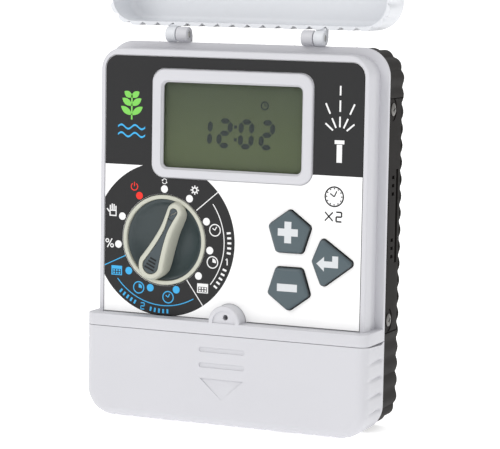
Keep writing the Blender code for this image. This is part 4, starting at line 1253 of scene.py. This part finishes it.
clock = (59.2, 24.6)
darkMarks = [ringMark(*clock, 5.5, 0.8, 1)] + [spoke(*clock, (3.9, 4.5), 30 * i, 0.8, 1) for i in range(12)]
darkMarks += [stroke(clock, end, 0.7, 1) for end in ((56.9, 26.2), (60.6, 27.6))]
darkMarks += [stroke((54.2, 11.8), (58.6, 16.4), 0.75, 1), stroke((54.2, 16.4), (58.6, 11.8), 0.75, 1)]
darkMarks += numeral("2", 62.0, 14.1, 5.0, 1)
# dark hairlines along the label's right edge and foot: painted shade in the gaps there
darkMarks += [stroke(start, end, 0.25, 1) for start, end in (
    ((74.85, -45.3), (74.85, 87.6)), ((-74.85, -45.35), (-9.4, -45.35)), ((10.8, -45.35), (74.85, -45.35)))]
finishInk(whiteMarks, "labelPrintWhite", whiteInk)
finishInk(blueMarks, "labelPrintBlue", blueInk)
finishInk(redMarks, "labelPrintRed", redInk)
finishInk(greenMarks, "labelPrintGreen", greenInk)
finishInk(darkMarks, "labelPrintSmallAndEdgeShade", darkInkAndShade)
print("label made")


# display: window, liquid crystal glass and its segments

display = {
    "window": 41.9, "windowLow": 33.6, "windowHigh": 82.6, "windowY": (-39.85, -40.6),
    "glassY": (-37.3, -39.5), "film": 0.05, "digitLow": 46.8, "digitHigh": 62.8,
    "stroke": 2.88, "gap": 0.3, "lean": 0.05, "clock": (17.9, 70.3), "clockSize": 2.4,
}
segments = {"0": "abcdef", "1": "bc", "2": "abged"}


def segmentPoints(letter, x, z, width, height):
    # one bar of a seven-segment digit, with pointed ends
    half, mid, gap = display["stroke"] / 2, height / 2, display["gap"]
    across = {"a": height - half, "g": mid, "d": half}
    if letter in across:
        low, start, end = across[letter], half + gap, width - half - gap
        shape = [(start, low), (start + half, low - half), (end - half, low - half), (end, low),
                 (end - half, low + half), (start + half, low + half)]
    else:
        at = half if letter in "ef" else width - half
        start, end = (half + gap, mid - gap) if letter in "ec" else (mid + gap, height - half - gap)
        shape = [(at, start), (at + half, start + half), (at + half, end - half), (at, end),
                 (at - half, end - half), (at - half, start + half)]
    return [(x + a + (b - mid) * display["lean"], z + b) for a, b in shape]


def lcdFilm(points):
    front = display["glassY"][1]
    return prism("segment", points, front + 0.02, front - display["film"])


def displayPieces():
    low, high = display["windowLow"], display["windowHigh"]
    window = panel("displayWindow", display["window"], display["windowY"], low, high, 1.0, 1.0, 4)
    roundAtY(window, display["windowY"][1], 0.25, 2)
    place(window, "displayWindow", "controller", "clear_window", windowLook, "display_window")
    glass = panel("lcdGlass", 44.0, display["glassY"], 31.2, 85.0, 0.6, 0.6, 3)
    roundAtY(glass, display["glassY"][1], 0.2, 2)
    place(glass, "lcdGlass", "controller", "lcd", lcdLook, "lcd_glass")
    height = display["digitHigh"] - display["digitLow"]
    marks = []
    for digit, x, width in (("1", -20.5, 8.2), ("2", -9.6, 9.0), ("0", 2.9, 9.0), ("2", 14.9, 9.0)):
        marks += [lcdFilm(segmentPoints(letter, x, display["digitLow"], width, height))
                  for letter in segments[digit]]
    marks += [lcdFilm(boxPoints(1.2, z, 1.7, 1.7)) for z in (58.4, 51.6)]
    (x, z), size = display["clock"], display["clockSize"]
    ring = lcdFilm(circlePoints(x, z, size))
    take(ring, prism("hole", circlePoints(x, z, size - 0.8), -38, -41))
    marks += [ring] + [lcdFilm(linePoints((x, z), end, 0.7)) for end in ((x, z + 1.4), (x + 1.1, z))]
    place(joinAll(marks), "lcdSegments", "controller", "lcd", segmentLook)


displayPieces()
print("display made")


# dial: cream rim and pointer, dark dish behind, dark inlay with grip ribs

dial = {
    "rim": 24.5, "rimInner": 22.3, "rimFront": -42.3, "rimBack": -38.7, "rimEdge": 0.6, "top": -45.2,
    "turn": -24.5,
    "handle": {"tip": (17.5, 4.15), "tipReach": 4.5, "waist": (7.5, 3.6), "tail": (-14.5, 7.4),
               "tailReach": 8.4},
    "inlay": {"tip": (17.2, 2.1), "tipReach": 2.0, "waist": (6.4, 0.95), "tail": (-15.2, 4.6),
              "tailReach": 4.7},
    "inlayDepth": 1.2, "shaft": 3.0, "dishThick": 1.8,
    "walls": ((1.5, -34.9), (1.25, -37.5), (0.95, -40.0), (0.62, -42.4), (0.3, -43.9), (0.0, -44.6),
              (-0.35, -45.0), (-0.85, -45.2)),
    "dish": ((22.0, -40.6), (21.5, -40.5), (20.9, -40.3), (20.2, -39.7), (19.3, -38.9), (18.0, -37.95),
             (16.5, -37.2), (14.6, -36.6), (12.5, -36.2), (9.8, -35.95), (7.0, -35.8)),
}


def pointerOutline(shape, more, steps=20):
    # waisted outline of the pointer or of its inlay, laid along the pointer and turned into place
    (tip, tipHalf), (waist, waistHalf), (tail, tailHalf) = shape["tip"], shape["waist"], shape["tail"]

    def halfWidth(u):
        if u > waist:
            return more + waistHalf + (tipHalf - waistHalf) * ((u - waist) / (tip - waist)) ** 1.5
        return more + waistHalf + (tailHalf - waistHalf) * ((waist - u) / (waist - tail)) ** 1.5

    def roundEnd(at, half, reach, start):
        arc = arcPoints(0, 0, 1.0, start, start + 180, 24)
        return [(v * (half + more), at + u * (reach + more)) for v, u in arc]

    right = [(halfWidth(u), u) for u in [tail + (tip - tail) * k / steps for k in range(1, steps)]]
    outline = roundEnd(tail, tailHalf, shape["tailReach"], -180) + right
    outline += roundEnd(tip, tipHalf, shape["tipReach"], 0) + [(-v, u) for v, u in reversed(right)]
    return [onPointer(v, u) for v, u in outline]


def onPointer(v, u):
    # a place on the pointer: v across it, u along it towards its tip
    c, s = math.cos(math.radians(dial["turn"])), math.sin(math.radians(dial["turn"]))
    return dialCentre[0] + v * c - u * s, dialCentre[1] + v * s + u * c


def dialKnob():
    front, edge, inner, outer = dial["rimFront"], dial["rimEdge"], dial["rimInner"], dial["rim"]
    centre = (dialCentre[0], 0, dialCentre[1])
    corner = [(1 - math.cos(math.radians(a)), 1 - math.sin(math.radians(a))) for a in (0, 22, 45, 68, 90)]
    rim = [(inner, dial["rimBack"]), (outer, dial["rimBack"])]
    rim += [(outer - edge * a, front + edge * b) for a, b in corner]
    rim += [(inner + edge * a, front + edge * b) for a, b in reversed(corner)]
    body = lathe("knob", rim, centre, 128)
    handle = stack("handle", [(pointerOutline(dial["handle"], more), y) for more, y in dial["walls"]])
    behind = [(r, y - 0.3) for r, y in dial["dish"]] + [(0.0, -36.1), (0.0, -30.0), (22.0, -30.0)]
    take(handle, lathe("dishRoom", behind, centre, 96),
         lathe("outside", [(23.5, -30), (40, -30), (40, -50), (23.5, -50)], centre, 96))
    add(body, handle)
    pocket = pointerOutline(dial["inlay"], 0.3)
    take(body, prism("pocket", pocket, dial["top"] + dial["inlayDepth"], -50),
         rod("seat", dialCentre, dial["shaft"] + 0.3, (-30.0, -39.6), sides=32))
    place(body, "dialKnob", "dial", "dial_cream", creamLook, "dial_knob", 40)


def dialDish():
    bore = dial["shaft"] + 0.3
    floor = dial["dish"][-1][1]
    under = floor + dial["dishThick"]
    profile = list(dial["dish"]) + [(bore, floor), (bore, -32.4), (5.5, -32.4), (5.5, under), (7.0, under),
                                    (17.4, -35.3), (20.9, -38.2), (22.0, -39.4)]
    body = lathe("dish", profile, (dialCentre[0], 0, dialCentre[1]), 128)
    place(body, "dialDish", "dial", "dial_slate", dishLook, "dial_dish", 40)


def pointerBar(v, u, across, tall, turn=0):
    # an oblong on the pointer, given by its middle and half sizes
    c, s = math.cos(math.radians(turn)), math.sin(math.radians(turn))
    corners = [(-across, -tall), (across, -tall), (across, tall), (-across, tall)]
    return [onPointer(v + a * c - b * s, u + a * s + b * c) for a, b in corners]


def dialRibs():
    # raised ribs for the thumb at the tail, and a fine line across the tip; the ribs' black ink is painted
    # shade for the dark grooves of the grip
    top = dial["top"] + 0.3
    bars = [pointerBar(0, u, 3.0 - 0.35 * i, 0.45) for i, u in enumerate((-17.2, -15.3, -13.4, -11.5))]
    bars.append(pointerBar(0, 12.6, 1.9, 0.16))
    ribs = [prism("rib", bar, top + 0.02, top - 0.12) for bar in bars]
    place(joinAll(ribs), "dialRibs", "dial", "dial_slate", gripShadeInk)


def dialInlay():
    top = dial["top"] + 0.5
    shape = dial["inlay"]
    body = stack("inlay", [(pointerOutline(shape, 0.0), dial["top"] + dial["inlayDepth"] - 0.3),
                           (pointerOutline(shape, 0.0), top), (pointerOutline(shape, -0.25), top - 0.2)])
    take(body, prism("slot", pointerBar(0.1, 16.3, 0.3, 2.2, -38), top + 0.6, -47))
    place(body, "dialInlay", "dial", "dial_slate", inlayLook, "dial_inlay", 30)


dialKnob()
dialDish()
dialInlay()
dialRibs()
print("dial made")


# keys: bevelled caps on flanges, with a glyph inked on each

keySizes = {
    "top": -44.8, "bevel": 1.2, "bevelHeight": 0.9, "flange": 1.3, "flangeFront": -38.88,
    "flangeBack": -37.68, "postEnd": -33.1, "post": 2.2, "film": 0.06,
}
keyGlyphs = {
    "plus": [boxPoints(34.6, 4.6, 11.4, 3.9), boxPoints(34.6, 4.6, 3.9, 11.4)],
    "minus": [boxPoints(34.7, -24.8, 11.4, 4.0)],
    "enter": [[(51.1, -10.7), (55.4, -14.6), (55.4, -12.5), (63.3, -12.5), (63.3, -6.3), (60.0, -6.3),
               (60.0, -9.2), (55.4, -9.2), (55.4, -6.9)]],
}


def key(word):
    corners, middle = keyPlans[word]
    steps, top, bevel = 8, keySizes["top"], keySizes["bevel"]
    cap = filleted(corners, keyCorner, steps)
    flange = filleted(grown(corners, keySizes["flange"] + keyGap), keyCorner + keySizes["flange"], steps)
    shoulder = filleted(grown(corners, -bevel), keyCorner - 0.8, steps)
    rounded = filleted(grown(corners, -bevel - 0.18), keyCorner - 0.9, steps)
    post = []
    for x, z in cap:
        away = Vector((x - middle[0], z - middle[1])).normalized() * keySizes["post"]
        post.append((middle[0] + away.x, middle[1] + away.y))
    under = filleted(grown(corners, -0.12), keyCorner, steps)
    back, front, edge = keySizes["flangeBack"], keySizes["flangeFront"], top + keySizes["bevelHeight"]
    body = stack("key", [(post, keySizes["postEnd"]), (post, back), (flange, back), (flange, front),
                         (cap, front), (cap, edge + 0.12), (under, edge - 0.05), (shoulder, top + 0.07),
                         (rounded, top)])
    place(body, word + "Key", word + "_key", "key_plastic", keyLook, word + "_button", 28)
    film = keySizes["film"]
    glyph, *others = [prism("glyph", points, top + 0.02, top - film) for points in keyGlyphs[word]]
    add(glyph, *others)
    place(glyph, word + "Glyph", word + "_key", "key_plastic", glyphInk)


for word in keyPlans:
    key(word)
print("keys made")


# the terminals' numbers

terminals = {"count": 8, "pitch": 9.0, "numberZ": -75.0, "faceY": -34.0, "numberSize": 3.4}


def terminalNumbers():
    marks = []
    for i in range(terminals["count"]):
        deselectAll()
        bpy.ops.object.text_add()
        mark = bpy.context.object
        mark.data.body = str(i + 1)
        mark.data.size = terminals["numberSize"] * mm
        mark.data.align_x = mark.data.align_y = "CENTER"
        mark.data.extrude = 0.04 * mm
        onlyActive(mark)
        bpy.ops.object.convert(target="MESH")
        mark = bpy.context.object
        x = (i - (terminals["count"] - 1) / 2) * terminals["pitch"]
        turned(mark, 90, (0, 0, 0), "X")
        marks.append(shift(mark, x, terminals["faceY"] - 0.03, terminals["numberZ"]))
    place(joinAll(marks), "terminalNumbers", "controller", "label_print", whiteInk)


terminalNumbers()
print("terminals numbered")


# pieces kept from the frame: welded, their edges softened, and given their materials

kept = [
    (boardLook, 0.12, ["main_board"]),
    (chipLook, 0.15, ["control_chip", "battery_holder", "rotary_switch"]
     + [word + "_switch" for word in keyPlans] + ["valve_driver_%d" % i for i in range(1, 5)]),
    (plungerLook, 0.12, [word + "_switch_plunger" for word in keyPlans]),
    (steelLook, 0.12, ["rotary_switch_shaft", "backup_battery", "hinge_pin_left", "hinge_pin_right"]
     + ["board_screw_%d" % i for i in (1, 2)] + ["case_screw_%d" % i for i in range(1, 5)]
     + ["terminal_screw_%d" % i for i in range(1, 9)]),
    (rubberLook, 0.2, ["case_seal", "cable_grommet_left", "cable_grommet_right"]),
    (contactLook, 0.2, ["lcd_connector_strip"]),
    (holderLook, 0.3, ["lcd_holder"]),
    (sleeveLook, 0.3, ["smoothing_capacitor"]),
    (fuseLook, 0.2, ["fuse"]),
    (terminalLook, 0.25, ["terminal_block"]),
]


def keepNode(name, look, width):
    piece = bpy.data.objects[name]
    piece.data.materials.clear()
    piece.data.materials.append(look)
    weld = piece.modifiers.new("weld", "WELD")
    weld.merge_threshold = 0.01 * mm
    bevel = piece.modifiers.new("soft edges", "BEVEL")
    bevel.width = width * mm
    bevel.segments = 2
    bevel.limit_method = "ANGLE"
    bevel.angle_limit = math.radians(40)


for look, width, names in kept:
    for name in names:
        keepNode(name, look, width)
print("inner pieces finished")


# camera, floor and light

view = {
    "place": (0.4742, -1.1038, 0.1381), "yaw": 23.54, "pitch": 6.45, "roll": 0.99, "lens": 158.1,
}


def makeCamera():
    yaw, pitch, roll = [math.radians(view[name]) for name in ("yaw", "pitch", "roll")]
    forward = Vector((-math.sin(yaw) * math.cos(pitch), math.cos(yaw) * math.cos(pitch), -math.sin(pitch)))
    right = Vector((math.cos(yaw), math.sin(yaw), 0))
    up = right.cross(forward)
    turnedRight = right * math.cos(roll) + up * math.sin(roll)
    turnedUp = up * math.cos(roll) - right * math.sin(roll)
    bpy.ops.object.camera_add(location=view["place"])
    camera = bpy.context.object
    camera.matrix_world = Matrix.Translation(view["place"]) @ Matrix(
        (turnedRight, turnedUp, -forward)).transposed().to_4x4()
    camera.data.lens = view["lens"]
    camera.data.sensor_width = 36
    camera.data.clip_end = 50
    bpy.context.scene.camera = camera


studio = {
    "floorDrop": 0.0006, "floorSize": 14.0, "floorGlow": 0.58, "sky": 0.82, "skySeen": 1.3,
    "lamps": [  # name, place, aim, size, power, tint
        ("key", (-0.9, -1.6, 1.5), (0, 0, 0.02), 1.3, 14, (1.0, 0.99, 0.98)),
        ("fill", (1.7, -1.0, 0.6), (0, 0, 0.02), 1.4, 1, (0.97, 0.98, 1.0)),
        ("rim", (0.4, 1.2, 1.4), (0, 0, 0.05), 1.2, 4, (1.0, 1.0, 1.0)),
    ],
}


def makeStage():
    bpy.ops.mesh.primitive_plane_add(size=studio["floorSize"],
                                     location=(0, 0, cadBox[0][2] - studio["floorDrop"]))
    floor = bpy.context.object
    floor.name = "studioFloor"
    look = Shader("studio floor", Roughness=0.9, Emission_Color=colour(1, 1, 1),
                  Emission_Strength=studio["floorGlow"])
    clouds = look.noise(3.0)
    look.feed("Base Color", look.mixColour(clouds, colour(0.86, 0.86, 0.86), colour(0.90, 0.90, 0.90)))
    floor.data.materials.append(look.material)
    world = bpy.data.worlds.new("studio")
    world.use_nodes = True
    sky = world.node_tree.nodes["Background"]
    sky.inputs["Color"].default_value = colour(1, 1, 1)
    path = world.node_tree.nodes.new("ShaderNodeLightPath")
    strength = world.node_tree.nodes.new("ShaderNodeMapRange")
    strength.inputs["To Min"].default_value = studio["sky"]
    strength.inputs["To Max"].default_value = studio["skySeen"]
    world.node_tree.links.new(path.outputs["Is Camera Ray"], strength.inputs["Value"])
    world.node_tree.links.new(strength.outputs["Result"], sky.inputs["Strength"])
    bpy.context.scene.world = world
    for name, where, aim, size, power, tint in studio["lamps"]:
        bpy.ops.object.light_add(type="AREA", location=where)
        lamp = bpy.context.object
        lamp.name = name
        lamp.data.shape = "DISK"
        lamp.data.size = size
        lamp.data.energy = power
        lamp.data.color = tint
        lamp.rotation_euler = (Vector(aim) - Vector(where)).to_track_quat("-Z", "Y").to_euler()
    bpy.context.scene.view_settings.view_transform = "Standard"


makeCamera()
makeStage()
print("camera and studio ready")
